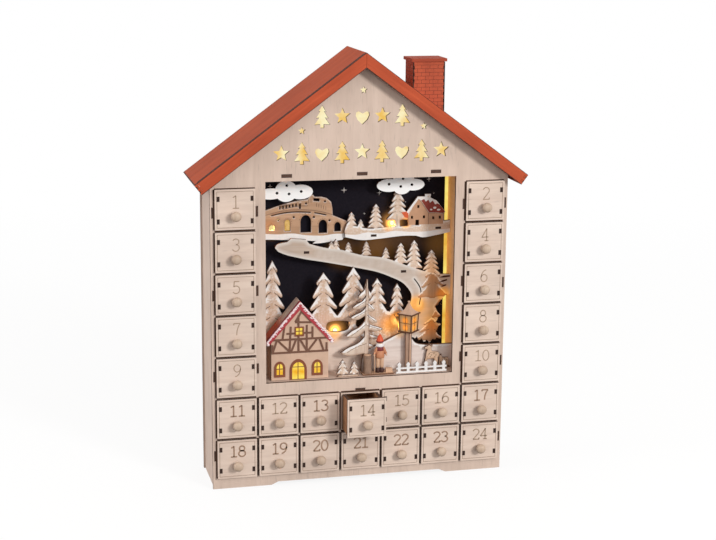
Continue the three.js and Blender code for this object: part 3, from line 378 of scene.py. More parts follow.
def line_maker():
    """A tree that turns polylines into flat burnt lines, all of one width and depth."""
    tree = bpy.data.node_groups.new("burnt_lines", "GeometryNodeTree")
    tree.interface.new_socket(name="Geometry", in_out="INPUT", socket_type="NodeSocketGeometry")
    inputs = {name: tree.interface.new_socket(name=name, in_out="INPUT", socket_type="NodeSocket" + kind)
              for name, kind in (("Width", "Float"), ("Depth", "Float"), ("Ink", "Material"))}
    tree.interface.new_socket(name="Geometry", in_out="OUTPUT", socket_type="NodeSocketGeometry")
    given = wired(tree, "NodeGroupInput")
    routes = wired(tree, "GeometryNodeMeshToCurve", {0: given.outputs["Geometry"]})
    flat = wired(tree, "GeometryNodeSetCurveNormal", {0: routes}, mode="Z_UP")
    section = wired(tree, "GeometryNodeCurvePrimitiveQuadrilateral",
                    {"Width": given.outputs["Width"], "Height": given.outputs["Depth"]})
    swept = wired(tree, "GeometryNodeCurveToMesh",
                  {"Curve": flat, "Profile Curve": section, "Fill Caps": True})
    real = wired(tree, "GeometryNodeRealizeInstances", {0: swept})
    inked = wired(tree, "GeometryNodeSetMaterial", {"Geometry": real, "Material": given.outputs["Ink"]})
    wired(tree, "NodeGroupOutput", {0: inked})
    return tree, {name: socket.identifier for name, socket in inputs.items()}


burnt_lines, burnt_inputs = line_maker()


def lines_mesh(name, strokes, width, depth, ink, place=Matrix.Identity(4)):
    """A mesh of flat lines along strokes drawn in XY, in mm, moved to their place."""
    points, edges = [], []
    for stroke in strokes:
        first = len(points)
        points += [(x * MM, y * MM, 0.0) for x, y in stroke]
        edges += [(i, i + 1) for i in range(first, len(points) - 1)]
    drawing = bpy.data.meshes.new(name + "_drawing")
    drawing.from_pydata(points, edges, [])
    carrier = bpy.data.objects.new(name + "_carrier", drawing)
    bpy.context.collection.objects.link(carrier)
    maker = carrier.modifiers.new("lines", "NODES")
    maker.node_group = burnt_lines
    maker[burnt_inputs["Width"]] = width * MM
    maker[burnt_inputs["Depth"]] = depth * MM
    maker[burnt_inputs["Ink"]] = ink
    graph = bpy.context.evaluated_depsgraph_get()
    mesh = bpy.data.meshes.new_from_object(carrier.evaluated_get(graph))
    bpy.data.objects.remove(carrier)
    mesh.transform(place)
    mesh.name = name
    return mesh


def add_piece(name, mesh, body):
    piece = bpy.data.objects.new(name, mesh)
    bpy.context.collection.objects.link(piece)
    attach(piece, body)
    return piece


def plain_finish(name, colour, roughness=0.6, bump=0.1, grain=300.0, variation=0.25, sheen=0.3):
    """A painted or burnt finish with a fine mottle in its colour and relief."""
    material, tree = blank_material(name)
    mottle = noise(tree, object_place(tree), grain, 4.0)
    low = [c * (1.0 - variation) for c in colour]
    high = [min(1.0, c * (1.0 + variation)) for c in colour]
    finish_wood(tree, mix_colour(tree, mottle, low, high), mottle, roughness, bump, sheen)
    return material


# Dark brown for the chimney's real burnt corners, used also as painted shade: the strip behind each roof band
# and the dark gaps in the road's bank.
burn_and_painted_shade = plain_finish("burnt_stain_and_painted_shade", (0.06, 0.02, 0.014), 0.8)
# Painted shade: a dark strip along the top of each roof board just behind its front band, for the shade in
# the gap there.
ROOF_SHADE_WIDTH = 2.4
for side, hand in (("left", -1), ("right", 1)):
    name = side + "_roof_painted_shade"
    band_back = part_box(side + "_gable_band")[1][1] / MM
    length = max(abs(corner.x) for corner in box_mm(side + "_roof_board")) / math.cos(tilt) - 4.0
    top = across_slope(side + "_roof_board")[1] / math.cos(tilt)
    place = Matrix.Translation((0.0, (band_back + 1.3) * MM, top * MM)) @ Matrix.Rotation(hand * tilt, 4, "Y")
    stroke = [(hand * 2.0, 0.0), (hand * length, 0.0)]
    add_piece(name, lines_mesh(name, [stroke], ROOF_SHADE_WIDTH, 0.1, burn_and_painted_shade, place), "house")
brick_joint = plain_finish("brick_joint", (0.22, 0.045, 0.024), 0.8)
BRICK_HEIGHT = 3.6
BRICK_LENGTH = 8.4
MORTAR_END = 0.5
CAP_OVERHANG = 3.0
JOINT_WIDTH = 0.4
JOINT_DEPTH = 0.12


def brick_strokes(low, high, height, base):
    """Courses and staggered upright joints of one chimney wall; base(x) is its lower edge, which may fall."""
    strokes = []
    course = 0
    z = height
    while z > base(high) + MORTAR_END:
        fall = (base(low) - base(high)) / (high - low)
        start = low if z > base(low) else low + (base(low) - z) / fall + 0.4
        if high - start > 1.0:
            strokes.append([(start, z), (high, z)])
        x = low + (BRICK_LENGTH / 2 if course % 2 else BRICK_LENGTH)
        while x < high - 1.0:
            if z - BRICK_HEIGHT > base(x):
                strokes.append([(x, z), (x, z - BRICK_HEIGHT)])
            x += BRICK_LENGTH
        course += 1
        z -= BRICK_HEIGHT
    return strokes


chimney_low, chimney_high = box_mm("chimney_body")
ROOF_FALL = math.tan(math.radians(36.4))
LEFT_WALL_HEIGHT = 26.5
DASH = 3.2
CORNER_BURN_WIDTH = 1.2


def roof_line(x):
    return chimney_high.z - LEFT_WALL_HEIGHT - (x - chimney_low.x) * ROOF_FALL


standing = Matrix.Rotation(math.pi / 2, 4, "X")
on_chimney_front = Matrix.Translation((0.0, chimney_low.y * MM, 0.0)) @ standing
on_chimney_back = Matrix.Translation((0.0, chimney_high.y * MM, 0.0)) @ standing
crossways = Matrix.Rotation(math.pi / 2, 4, "Z") @ standing


def brick_wall(side, low, high, base, place):
    strokes = brick_strokes(low, high, chimney_high.z - CAP_OVERHANG, base)
    bricks = lines_mesh("chimney_%s_bricks" % side, strokes, JOINT_WIDTH, JOINT_DEPTH, brick_joint, place)
    add_piece("chimney_%s_joints" % side, bricks, "house")


brick_wall("front", chimney_low.x, chimney_high.x, roof_line, on_chimney_front)
corner_burns = []
for x, inward in ((chimney_low.x + 0.35, 1), (chimney_high.x - 0.35, -1)):
    foot = max(roof_line(x), roof_line(chimney_high.x)) + 0.6
    corner_burns.append([(x, chimney_high.z - 0.4), (x, foot)])
    z = chimney_high.z - 4.0
    while z - DASH > foot:
        corner_burns.append([(x + 0.5 * inward, z), (x + 0.5 * inward, z - DASH)])
        z -= 2 * DASH
burns = lines_mesh("chimney_corner_burns", corner_burns, CORNER_BURN_WIDTH, 0.2, burn_and_painted_shade, on_chimney_front)
add_piece("chimney_corner_burns", burns, "house")
brick_wall("back", chimney_low.x, chimney_high.x, roof_line, on_chimney_back)
for side, x in (("left", chimney_low.x), ("right", chimney_high.x)):
    brick_wall(side, chimney_low.y, chimney_high.y, lambda y, x=x: roof_line(x),
               Matrix.Translation((x * MM, 0.0, 0.0)) @ crossways)


# Drawers
# Each drawer is a glued plywood box behind a square front, with the box's four tenons showing in it,
# a burnt border line, a burnt number and a turned beech knob. They slide on the racks' shelves.
PLY = 3.0
DRAWER_PITCH = 42.0
FRONT_SIZE = 39.6
BOX_WIDTH = 36.0
BOX_HEIGHT = 36.0
BOX_DEPTH = 57.7
SEAM = 0.3
BOX_BOTTOM = PLY / 2 + SEAM
TENON_WIDTH = 3.0
TENON_HEIGHT = 5.0
TENON_HEIGHTS = (10.5, -11.5)
KNOB_DROP = 6.0
BORDER_INSET = 2.2
BORDER_WIDTH = 0.42
BURN_DEPTH = 0.08
NUMBER_DEPTH = 0.12
NUMBER_TOP = 13.8


def board(work, low, high, face=0, edge=1):
    """One plywood board: its two wide sides get the face material, the other four the edge's."""
    corners = [work.verts.new((x * MM, y * MM, z * MM)) for x in (low[0], high[0]) for y in (low[1], high[1])
               for z in (low[2], high[2])]
    thin = min(range(3), key=lambda axis: high[axis] - low[axis])
    for axis, quads in enumerate((((0, 1, 3, 2), (4, 6, 7, 5)), ((0, 4, 5, 1), (2, 3, 7, 6)),
                                  ((0, 2, 6, 4), (1, 5, 7, 3)))):
        for quad in quads:
            side = work.faces.new([corners[i] for i in quad])
            side.material_index = face if axis == thin else edge


def turned_profile(work, profile, centre, axis, sides=28, material=0, smooth=True):
    """A turned shape: profile pairs of radius and height along the axis, both ends closed."""
    turn = Vector((0, 0, 1)).rotation_difference(Vector(axis)).to_matrix()
    rings = []
    for radius, height in profile:
        if radius == 0:
            rings.append([work.verts.new(Vector(centre) * MM + turn @ Vector((0, 0, height)) * MM)])
            continue
        ring = []
        for k in range(sides):
            angle = 2 * math.pi * k / sides
            spot = Vector((radius * math.cos(angle), radius * math.sin(angle), height))
            ring.append(work.verts.new((Vector(centre) + turn @ spot) * MM))
        rings.append(ring)
    for lower, upper in zip(rings, rings[1:]):
        for k in range(sides):
            a, b = k % len(lower), (k + 1) % len(lower)
            c, d = (k + 1) % len(upper), k % len(upper)
            corners = [lower[a]]
            for corner in (lower[b], upper[c], upper[d]):
                if corner not in corners:
                    corners.append(corner)
            side = work.faces.new(corners)
            side.material_index = material
            side.smooth = smooth


def mesh_of(work, name, *materials):
    bmesh.ops.recalc_face_normals(work, faces=work.faces[:])
    mesh = bpy.data.meshes.new(name)
    work.to_mesh(mesh)
    work.free()
    for material in materials:
        mesh.materials.append(material)
    return mesh


def arc(cx, cy, rx, ry, start, end, steps=14):
    """Points along an ellipse, between two angles in degrees."""
    angles = [math.radians(start + (end - start) * i / steps) for i in range(steps + 1)]
    return [(cx + rx * math.cos(a), cy + ry * math.sin(a)) for a in angles]


FIGURES = {
    "0": [arc(3.5, 6.5, 2.7, 6.0, 0, 360, 24)],
    "1": [[(3.6, 0.5), (3.6, 12.8)], [(3.6, 12.6), (1.3, 10.8)], [(1.0, 0.5), (6.2, 0.5)]],
    "2": [arc(3.4, 9.5, 2.7, 3.1, 165, -40, 12) + [(1.0, 0.7)], [(0.8, 0.5), (6.3, 0.5)],
          [(6.2, 0.4), (6.2, 2.4)]],
    "3": [arc(3.3, 9.7, 2.5, 2.8, 155, -80, 12), arc(3.2, 3.7, 2.9, 3.3, 85, -155, 14)],
    "4": [[(4.9, 12.9), (0.7, 4.1)], [(0.6, 4.2), (6.6, 4.2)], [(4.8, 12.8), (4.8, 0.5)],
          [(3.0, 0.5), (6.5, 0.5)]],
    "5": [[(1.7, 12.4), (5.9, 12.4)], [(1.7, 12.5), (1.4, 7.0)], arc(3.2, 4.2, 2.9, 3.8, 128, -150, 16)],
    "6": [arc(5.6, 4.2, 4.8, 8.3, 95, 175, 10), arc(3.5, 4.1, 2.7, 3.7, 0, 360, 20)],
    "7": [[(1.0, 10.6), (1.0, 12.5)], [(0.9, 12.4), (6.2, 12.4)], arc(8.2, 0.5, 4.8, 12.6, 112, 180, 8)],
    "8": [arc(3.5, 9.7, 2.2, 2.9, 0, 360, 20), arc(3.5, 3.8, 2.8, 3.4, 0, 360, 20)],
    "9": [arc(3.5, 8.9, 2.7, 3.7, 0, 360, 20), arc(1.4, 8.8, 4.8, 8.3, -85, -5, 10)],
}
FIGURE_TOP = 13.0
FIGURE_STRETCH = 1.2
FIGURE_WIDTH = 7.0 * FIGURE_STRETCH
DIGIT_PITCH = 8.2
NUMBER_SHIFT = 0.6


def number_strokes(number):
    digits = str(number)
    start = -DIGIT_PITCH * len(digits) / 2 + (DIGIT_PITCH - FIGURE_WIDTH) / 2 + NUMBER_SHIFT
    tall = 0.9 if len(digits) > 1 else 1.0
    strokes = []
    for place, digit in enumerate(digits):
        shift = start + place * DIGIT_PITCH
        for stroke in FIGURES[digit]:
            strokes.append([(x * FIGURE_STRETCH + shift, (y - FIGURE_TOP) * tall + NUMBER_TOP)
                            for x, y in stroke])
    return strokes


drawer_veneer = plain_veneer("drawer_veneer", "X", (0.70, 0.565, 0.48), (0.60, 0.465, 0.39))
drawer_edge = plain_finish("drawer_cut_edge", (0.06, 0.028, 0.018), 0.75)
inside_veneer = plain_veneer("drawer_inside_veneer", "Y", (0.40, 0.20, 0.10), (0.27, 0.12, 0.06))
tenon_burn = plain_finish("burnt_tenon", (0.028, 0.013, 0.009), 0.8)
number_burn = plain_finish("burnt_number", (0.33, 0.215, 0.15), 0.75)
faint_burn = plain_finish("faint_number", (0.38, 0.275, 0.20), 0.75)
FAINT_NUMBERS = (1, 2, 3, 4, 5, 6, 7, 8, 9, 10, 12, 14, 15, 16, 24)
border_burn = plain_finish("burnt_border", (0.25, 0.155, 0.105), 0.75)
knob_wood = plain_veneer("turned_beech", "Z", (0.56, 0.43, 0.33), (0.43, 0.31, 0.23), 0.8,
                         roughness=0.45, bump=0.08)

knob_profile = [(0.0, -0.3), (3.0, -0.3), (3.0, 0.3), (2.3, 0.9), (2.1, 1.9), (2.5, 2.8), (3.5, 3.6),
                (4.4, 4.6), (4.85, 5.7), (4.9, 6.8), (4.6, 7.9), (3.9, 8.9), (2.8, 9.6), (1.4, 9.95),
                (0.0, 10.0)]


def drawer_mesh(name, x, y, z):
    """A drawer whose shelf line is at z and whose front lies against the panel at y."""
    work = bmesh.new()
    front_y, seat_y = y - PLY - SEAM, y - SEAM
    back_y = y + BOX_DEPTH
    middle = z + DRAWER_PITCH / 2
    half = FRONT_SIZE / 2
    board(work, (x - half, front_y, middle - half), (x + half, seat_y, middle + half))
    left, right = x - BOX_WIDTH / 2, x + BOX_WIDTH / 2
    low, high = z + BOX_BOTTOM, z + BOX_BOTTOM + BOX_HEIGHT
    for outer, inner in ((left, left + PLY), (right, right - PLY)):
        board(work, (min(outer, inner), seat_y, low), (max(outer, inner), back_y, high), 2)
    board(work, (left + PLY, back_y - PLY, low), (right - PLY, back_y, high), 2)
    board(work, (left + PLY, seat_y, low), (right - PLY, back_y - PLY, low + PLY), 2)
    for side in (left + PLY / 2, right - PLY / 2):
        for height in TENON_HEIGHTS:
            board(work, (side - TENON_WIDTH / 2, front_y - BURN_DEPTH, middle + height - TENON_HEIGHT / 2),
                  (side + TENON_WIDTH / 2, front_y + 1.0, middle + height + TENON_HEIGHT / 2), 3, 3)
    turned_profile(work, knob_profile, (x, front_y, middle - KNOB_DROP), (0, -1, 0), material=4)
    return mesh_of(work, name, drawer_veneer, drawer_edge, inside_veneer, tenon_burn, knob_wood)


border_half = FRONT_SIZE / 2 - BORDER_INSET
border = [(x * border_half, z * border_half) for x, z in ((-1, -1), (1, -1), (1, 1), (-1, 1))]
border_strokes = [[a, b] for a, b in zip(border, border[1:] + border[:1])]
seats = []
for number in range(1, 25):
    node = "drawer_%02d" % number
    body = node + "_body"
    low, high = box_mm(node)
    x = (low.x + high.x) / 2
    z = (low.z + high.z) / 2 - DRAWER_PITCH / 2
    y = high.y - BOX_DEPTH
    seats.append((round(x), round(z)))
    drawer = add_piece(node + "_box", drawer_mesh(node + "_box", x, y, z), body)
    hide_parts(node)
    on_front = Matrix.Translation((x * MM, (y - PLY - SEAM) * MM, (z + DRAWER_PITCH / 2) * MM)) @ standing
    faint = number in FAINT_NUMBERS
    ink_width = 1.0 if number < 11 else 1.25 if faint else 1.55
    ink_burn = faint_burn if faint else number_burn
    for name, strokes, width, depth, ink in (
            (node + "_number", number_strokes(number), ink_width, NUMBER_DEPTH, ink_burn),
            (node + "_border", border_strokes, BORDER_WIDTH, BURN_DEPTH, border_burn)):
        add_piece(name, lines_mesh(name, strokes, width, depth, ink, on_front), body)

# Painted shade: dark strips on the panel in the gaps between neighbouring drawer fronts, and along the left
# and top edges of the drawer block, stand for the shade that falls there.
gap_painted_shade = plain_finish("painted_gap_shade", (0.07, 0.033, 0.02), 0.8)
gap_strokes = []
GAP_TRIM = 1.2
GAP_WIDTH = 1.9


def has_neighbour(x, z, columns, rows):
    aside, above = x + columns * round(DRAWER_PITCH), z + rows * round(DRAWER_PITCH)
    return any(abs(aside - other_x) <= 1 and abs(above - other_z) <= 1 for other_x, other_z in seats)


for x, z in seats:
    left, right = x - FRONT_SIZE / 2, x + FRONT_SIZE / 2
    foot, head = z + GAP_TRIM, z + DRAWER_PITCH - GAP_TRIM
    if has_neighbour(x, z, 0, -1):
        gap_strokes.append([(left, z), (right, z)])
    if has_neighbour(x, z, 1, 0):
        gap_strokes.append([(x + DRAWER_PITCH / 2, foot), (x + DRAWER_PITCH / 2, head)])
    if not has_neighbour(x, z, -1, 0):
        gap_strokes.append([(left - 0.3, foot), (left - 0.3, head)])
    if not has_neighbour(x, z, 0, 1):
        gap_strokes.append([(left, head), (right, head)])
on_panel = Matrix.Translation((0.0, front_face_y, 0.0)) @ standing
gaps = lines_mesh("panel_gap_painted_shade", gap_strokes, GAP_WIDTH, BURN_DEPTH, gap_painted_shade, on_panel)
add_piece("panel_gap_painted_shade", gaps, "house")


# Gable glow film
# A yellow film is glued behind the cut-outs of the gable, just behind the front panel. The small lamps in
# the loft shine through it, brightest beside each of them.
FILM_EDGE = [(-99, 322), (99, 322), (99, 344), (20, 404), (-20, 404), (-99, 344)]
FILM_DEPTH = 0.2
LOFT_LAMP_PITCH = 35.0
front_mm = front_face_y / MM


def glowing(name, dim, bright, pitch, axis, shift=0.0, strength=1.0, grain=120.0):
    """A lit surface whose glow swells once per pitch along an axis, with a faint mottle."""
    material, tree = blank_material(name)
    place = object_place(tree)
    split = wired(tree, "SeparateXYZ", {0: place})
    phase = calc(tree, "MULTIPLY_ADD", split.outputs[axis], 2 * math.pi / (pitch * MM),
                 -2 * math.pi * shift / pitch)
    wave = calc(tree, "COSINE", phase)
    level = calc(tree, "MULTIPLY_ADD", wave, 0.28, noise(tree, place, grain))
    lamp = wired(tree, "Emission", {"Color": mix_colour(tree, level, dim, bright), "Strength": strength})
    wired(tree, "OutputMaterial", {"Surface": lamp})
    return material


film_glow = glowing("yellow_film_glow", (0.86, 0.50, 0.07), (1.0, 0.97, 0.66), LOFT_LAMP_PITCH, "X")
work = bmesh.new()
film_front = front_mm + PLY + 0.05
front, back = ([work.verts.new((x * MM, (film_front + deep) * MM, z * MM)) for x, z in FILM_EDGE]
               for deep in (0.0, FILM_DEPTH))
work.faces.new(front)
work.faces.new(back)
for i in range(len(FILM_EDGE)):
    work.faces.new((front[i - 1], front[i], back[i], back[i - 1]))
add_piece("gable_glow_film", mesh_of(work, "gable_glow_film", film_glow), "house")


# Night sky
# The sky board stands at the back of the scene, painted night black, with small printed stars. Past its
# right end a slit is left open, and the lamps behind it light a yellow film there.
SKY_LAMPS = [(-81, 147.5), (44, 147.5), (-15, 37.6), (50, 37.6)]
room_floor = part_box("scene_floor")[1][2] / MM


def night_paint(spots):
    """Matt night paint with a warm pool of light round each lamp."""
    material, tree = blank_material("night_paint")
    tone = mix_colour(tree, noise(tree, object_place(tree), 400.0), (0.007, 0.006, 0.010),
                      (0.016, 0.014, 0.020))
    shader = wired(tree, "BsdfPrincipled", {
        "Base Color": tone, "Roughness": 0.9, "Specular IOR Level": 0.05,
        "Emission Color": (1.0, 0.42, 0.07, 1.0), "Emission Strength": warm_pools(tree, spots)})
    wired(tree, "OutputMaterial", {"Surface": shader})
    return material


sky_low, sky_high = box_mm("sky_board")
# Painted light: faint warm glow pools on the sky board, away from the lamps.
SKY_GLOW_POOLS = [(28, 122, 30, 0.12), (93, 124, 24, 0.08), (-8, 119, 26, 0.09), (58, 130, 26, 0.05)]
sky_spots = [(x, z, reach, power) for reach, power in ((17.0, 0.45), (8.5, 3.0))
             for x, z in SKY_LAMPS] + SKY_GLOW_POOLS
dress("sky_board", night_paint([((x, sky_low.y, z + room_floor), reach, power)
                                for x, z, reach, power in sky_spots]))
STARS = [(-6.3, 289.2, 3.4), (30.5, 285.3, 2.6), (82.6, 297.7, 2.7), (15.1, 264.3, 1.5), (-82.0, 295.3, 2.8),
         (-26.0, 300.5, 1.2), (5.0, 301.0, 1.0), (58.0, 275.0, 0.9), (-30.0, 268.0, 0.9), (88.0, 283.0, 1.0)]
STAR_TIPS = 4
STAR_WAIST = 0.2


def star_ring(x, z, reach):
    ring = []
    for k in range(2 * STAR_TIPS):
        angle = math.pi / 2 + k * math.pi / STAR_TIPS
        length = reach * STAR_WAIST if k % 2 else reach
        ring.append((x + length * math.cos(angle), z + length * math.sin(angle)))
    return ring


def ring_area(ring):
    return sum(a[0] * b[1] - b[0] * a[1] for a, b in zip(ring, ring[1:] + ring[:1])) / 2


SEED_PITCH = 1.7
SEED_REACH = 4.0


def seed_points(rings, draw):
    """Loose points near the rings, so that a board's face follows its edge closely."""
    segments = np.array([(*a, *b) for ring in rings for a, b in zip(ring, ring[1:] + ring[:1])])
    low, high = segments[:, :2].min(0), segments[:, :2].max(0)
    across = np.arange(low[0] + 0.4, high[0], SEED_PITCH)
    up = np.arange(low[1] + 0.4, high[1], SEED_PITCH)
    grid = np.array([(x, z) for x in across for z in up])
    if not len(grid):
        return []
    grid += np.array([[draw.uniform(-0.4, 0.4), draw.uniform(-0.4, 0.4)] for _ in grid])
    reach, _ = edge_reach(grid, segments)
    return [tuple(p) for p in grid[(reach > 0.5) & (reach < SEED_REACH)]]


def edge_reach(points, segments):
    """Distance of each point to the nearest edge, and how far the edges about it face up."""
    start, run = segments[:, :2], segments[:, 2:] - segments[:, :2]
    length = np.maximum((run ** 2).sum(1), 1e-12)
    outward_up = -run[:, 0] / np.sqrt(length)
    nearest, lift = [], []
    for point in points:
        along = np.clip(((point - start) * run).sum(1) / length, 0, 1)
        gap = np.sqrt(((start + run * along[:, None] - point) ** 2).sum(1))
        closest = gap.min()
        share = np.exp(-(gap - closest) / 0.5) * np.sqrt(length)
        nearest.append(closest)
        lift.append((share * outward_up).sum() / share.sum())
    return np.array(nearest), np.array(lift)


def cut_board(name, outlines, front, thick, materials, holes=(), within=(), detailed=True):
    """A flat board in XZ: the outlines joined, the holes out, kept to the rings in `within`."""
    rings = [ring if ring_area(ring) > 0 else ring[::-1] for ring in [*outlines, *holes, *within]]
    points, loops = [], []
    for ring in rings:
        loops.append(list(range(len(points), len(points) + len(ring))))
        points += ring
    if detailed:
        points += seed_points(rings, random.Random(len(points)))
    first_hole, first_within = len(outlines), len(outlines) + len(holes)
    spots, _, triangles, _, _, owners = delaunay_2d_cdt([Vector(p) for p in points], [], loops, 1, 1e-4)
    kept = []
    for corners, owner in zip(triangles, owners):
        is_inside = any(i < first_hole for i in owner)
        is_open = any(first_hole <= i < first_within for i in owner)
        is_bound = not within or any(i >= first_within for i in owner)
        if is_inside and is_bound and not is_open:
            kept.append(tuple(corners))
    rims = {}
    for corners in kept:
        for a, b in zip(corners, corners[1:] + corners[:1]):
            if (b, a) in rims:
                del rims[(b, a)]
            else:
                rims[(a, b)] = True
    used = sorted({i for corners in kept for i in corners})
    order = {old: new for new, old in enumerate(used)}
    flat = np.array([(spots[i].x, spots[i].y) for i in used])
    count = len(used)
    low_y, high_y = (front_mm + front) * MM, (front_mm + front + thick) * MM
    verts = [(x * MM, low_y, (z + room_floor) * MM) for x, z in flat]
    verts += [(x * MM, high_y, (z + room_floor) * MM) for x, z in flat]
    faces = [tuple(order[i] for i in corners) for corners in kept]
    faces += [tuple(order[i] + count for i in reversed(corners)) for corners in kept]
    sides = [(order[a], order[a] + count, order[b] + count, order[b]) for a, b in rims]
    mesh = bpy.data.meshes.new(name)
    mesh.from_pydata(verts, [], faces + sides)
    for material in materials:
        mesh.materials.append(material)
    if len(materials) > 1:
        mesh.polygons.foreach_set("material_index", [0] * len(faces) + [1] * len(sides))
    if detailed:
        edges = np.array([(*flat[order[a]], *flat[order[b]]) for a, b in rims])
        rim, lift = edge_reach(flat, edges)
        mesh.attributes.new("rim", "FLOAT", "POINT").data.foreach_set("value", np.tile(rim, 2))
        mesh.attributes.new("lift", "FLOAT", "POINT").data.foreach_set("value", np.tile(lift, 2))
    return mesh


def fixed_board(name, rings, front, thick, materials, holes=(), within=(), detailed=False):
    """A board or a print that is glued to the house for good."""
    return add_piece(name, cut_board(name, rings, front, thick, materials, holes, within, detailed), "house")


star_print = plain_finish("star_print", (0.62, 0.58, 0.56), 0.6)
SKY_FRONT = sky_low.y - front_mm
star_rings = [star_ring(x, z - room_floor, reach) for x, z, reach in STARS]
fixed_board("printed_stars", star_rings, SKY_FRONT - 0.06, 0.05, [star_print])

slit_glow = glowing("slit_glow", (0.76, 0.36, 0.03), (1.0, 0.86, 0.22), 90.0, "Z", room_floor + 84.0)
slit_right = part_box("right_drawer_rack")[0][0] / MM
work = bmesh.new()
board(work, (sky_high.x + 0.1, sky_low.y + 0.2, room_floor + 1.0),
      (slit_right - 0.1, sky_low.y + 0.5, room_floor + 204.0), 0, 0)
add_piece("slit_glow_film", mesh_of(work, "slit_glow_film", slit_glow), "house")


# Village boards
# Each layer is one thin board with the snow printed along the edges that look up and the laser's burn
# round every outline. Small shelves tie the hanging layers back to the sky board.
SCENE_PALE = (0.73, 0.56, 0.44)
SCENE_DARK = (0.59, 0.42, 0.31)
SNOW = (0.80, 0.77, 0.76)


def snowed_wood(name, along="Z", pale=SCENE_PALE, dark=SCENE_DARK, depth=2.2, burn=0.75, spots=(),
                frosty=0.0):
    """Scene plywood with printed snow under its upper edges, a burnt rim and the lamps' light."""
    material, tree = blank_material(name)
    colour, height = wood_grain(tree, along, pale, dark, 1.1)
    place = object_place(tree)
    rim, lift = attribute(tree, "rim"), attribute(tree, "lift")
    reach = calc(tree, "MULTIPLY", noise(tree, place, 520.0, 3.0), 2.0 * depth)
    covered = calc(tree, "SUBTRACT", reach, rim)
    snowed = calc(tree, "MULTIPLY", ranged(tree, covered, -0.4, 0.9), ranged(tree, lift, 0.0, 0.45))
    shaded = calc(tree, "MULTIPLY", ranged(tree, rim, 2.4, 0.0, 0.0, 0.55), ranged(tree, lift, 0.2, -0.5))
    scorch = ranged(tree, rim, 0.45, 0.12, 0.0, burn)
    frost = ranged(tree, noise(tree, place, 560.0, 5.0), 0.5, 0.64, 0.0, frosty)
    tone = mix_colour(tree, frost, colour, SNOW)
    tone = mix_colour(tree, shaded, tone, (0.25, 0.12, 0.06))
    tone = mix_colour(tree, snowed, tone, SNOW)
    tone = mix_colour(tree, scorch, tone, (0.16, 0.075, 0.04))
    finish_wood(tree, tone, height, bump=0.08, glow=warm_pools(tree, spots))
    return material


def in_room(x, depth, z, reach, power):
    return ((x, front_mm + depth, room_floor + z), reach, power)


FOREST_LIGHT = [in_room(46, 29, 51, 11.0, 2.6), in_room(38, 29, 46, 20.0, 1.0),
                in_room(-21, 29, 44, 12.0, 1.6)]
HILLTOP_LIGHT = [in_room(56, 40, 149, 9.0, 1.6), in_room(38, 40, 147, 10.0, 0.9)]
ROAD_LIGHT = [in_room(66, 35, 64, 16.0, 1.1), in_room(80, 35, 56, 32.0, 0.6), in_room(96, 35, 74, 13.0, 1.3),
              in_room(84, 35, 40, 20.0, 0.5), in_room(84, 35, 100, 24.0, 0.4)]
scene_edge = plain_finish("scene_cut_edge", (0.15, 0.07, 0.038), 0.8)
snow_print = plain_finish("snow_print", SNOW, 0.7, 0.1, 260.0, 0.1)
dark_burn = plain_finish("burnt_line", (0.07, 0.032, 0.02), 0.8)
WALL = 103.2
ROOM_HEIGHT = 205.9
PRINT = 0.05


def smooth(points, steps):
    """A curve through the points, sampled evenly from knot to knot."""
    curve = []
    last = len(points) - 1
    for i in range(steps + 1):
        at = last * i / steps
        k = min(int(at), last - 1)
        t = at - k
        p0, p1 = points[max(k - 1, 0)], points[k]
        p2, p3 = points[k + 1], points[min(k + 2, last)]
        curve.append(tuple(0.5 * (2 * b + (c - a) * t + (2 * a - 5 * b + 4 * c - d) * t * t
                                  + (3 * b - a - 3 * c + d) * t ** 3) for a, b, c, d in zip(p0, p1, p2, p3)))
    return curve


def ellipse(x, z, rx, rz, sides=28):
    return arc(x, z, rx, rz, 0, 360, sides)[:-1]


def arched(x0, x1, low, high, steps=14):
    half = (x1 - x0) / 2
    rise = min(1.3 * half, 0.6 * (high - low))
    return [(x0, low), (x1, low)] + arc(x0 + half, high - rise, half, rise, 0, 180, steps)


def box_ring(x0, x1, z0, z1):
    return [(x0, z0), (x1, z0), (x1, z1), (x0, z1)]


def fir(x, foot, top, reach, tiers, trunk=2.0, seed=1):
    """A fir's outline with drooping boughs whose tips curl, and the burnt line under each bough."""
    draw = random.Random(seed)
    drop = (top - foot - trunk) / tiers
    sides, lines = [], []
    for hand in (1, -1):
        side = []
        inner, start = 0.0, top
        for tier in range(1, tiers + 1):
            tip = reach * (tier / tiers) ** 0.62 * draw.uniform(0.94, 1.03)
            low = top - tier * drop + drop * draw.uniform(-0.07, 0.07) * (tier < tiers)
            fall = start - low
            wide = tip - inner
            upper = [(inner, start), (inner + 0.34 * wide, start - 0.3 * fall),
                     (inner + 0.7 * wide, start - 0.58 * fall), (tip, low + 0.2 * drop)]
            side += smooth(upper, 8)[0 if tier == 1 else 1:]
            under = [(tip + 0.02 * wide, low + 0.08 * drop), (tip - 0.1 * wide, low - 0.02 * drop),
                     (tip - 0.3 * wide, low + 0.02 * drop), (0.72 * tip, low + 0.06 * drop),
                     (0.46 * tip, low + 0.26 * drop)]
            if tier < tiers:
                side += smooth(under, 8)
                notch = (0.46 * tip, low + 0.26 * drop)
                lines.append([(x + hand * notch[0], notch[1]),
                              (x + hand * 0.7 * notch[0], notch[1] + 0.05 * drop),
                              (x + hand * 0.42 * notch[0], notch[1] + 0.16 * drop)])
            else:
                side += under[:2]
            inner = 0.46 * tip
            start = low + 0.26 * drop
        stem = 0.14 * reach + 0.8
        side += [(stem + 0.25 * reach, top - tiers * drop + 0.06 * drop),
                 (stem, top - tiers * drop - 0.02 * drop), (stem, foot)]
        sides.append(side)
    left = [(x - w, z) for w, z in reversed(sides[1][1:])]
    return [(x, top)] + [(x + w, z) for w, z in sides[0][1:]] + left, lines


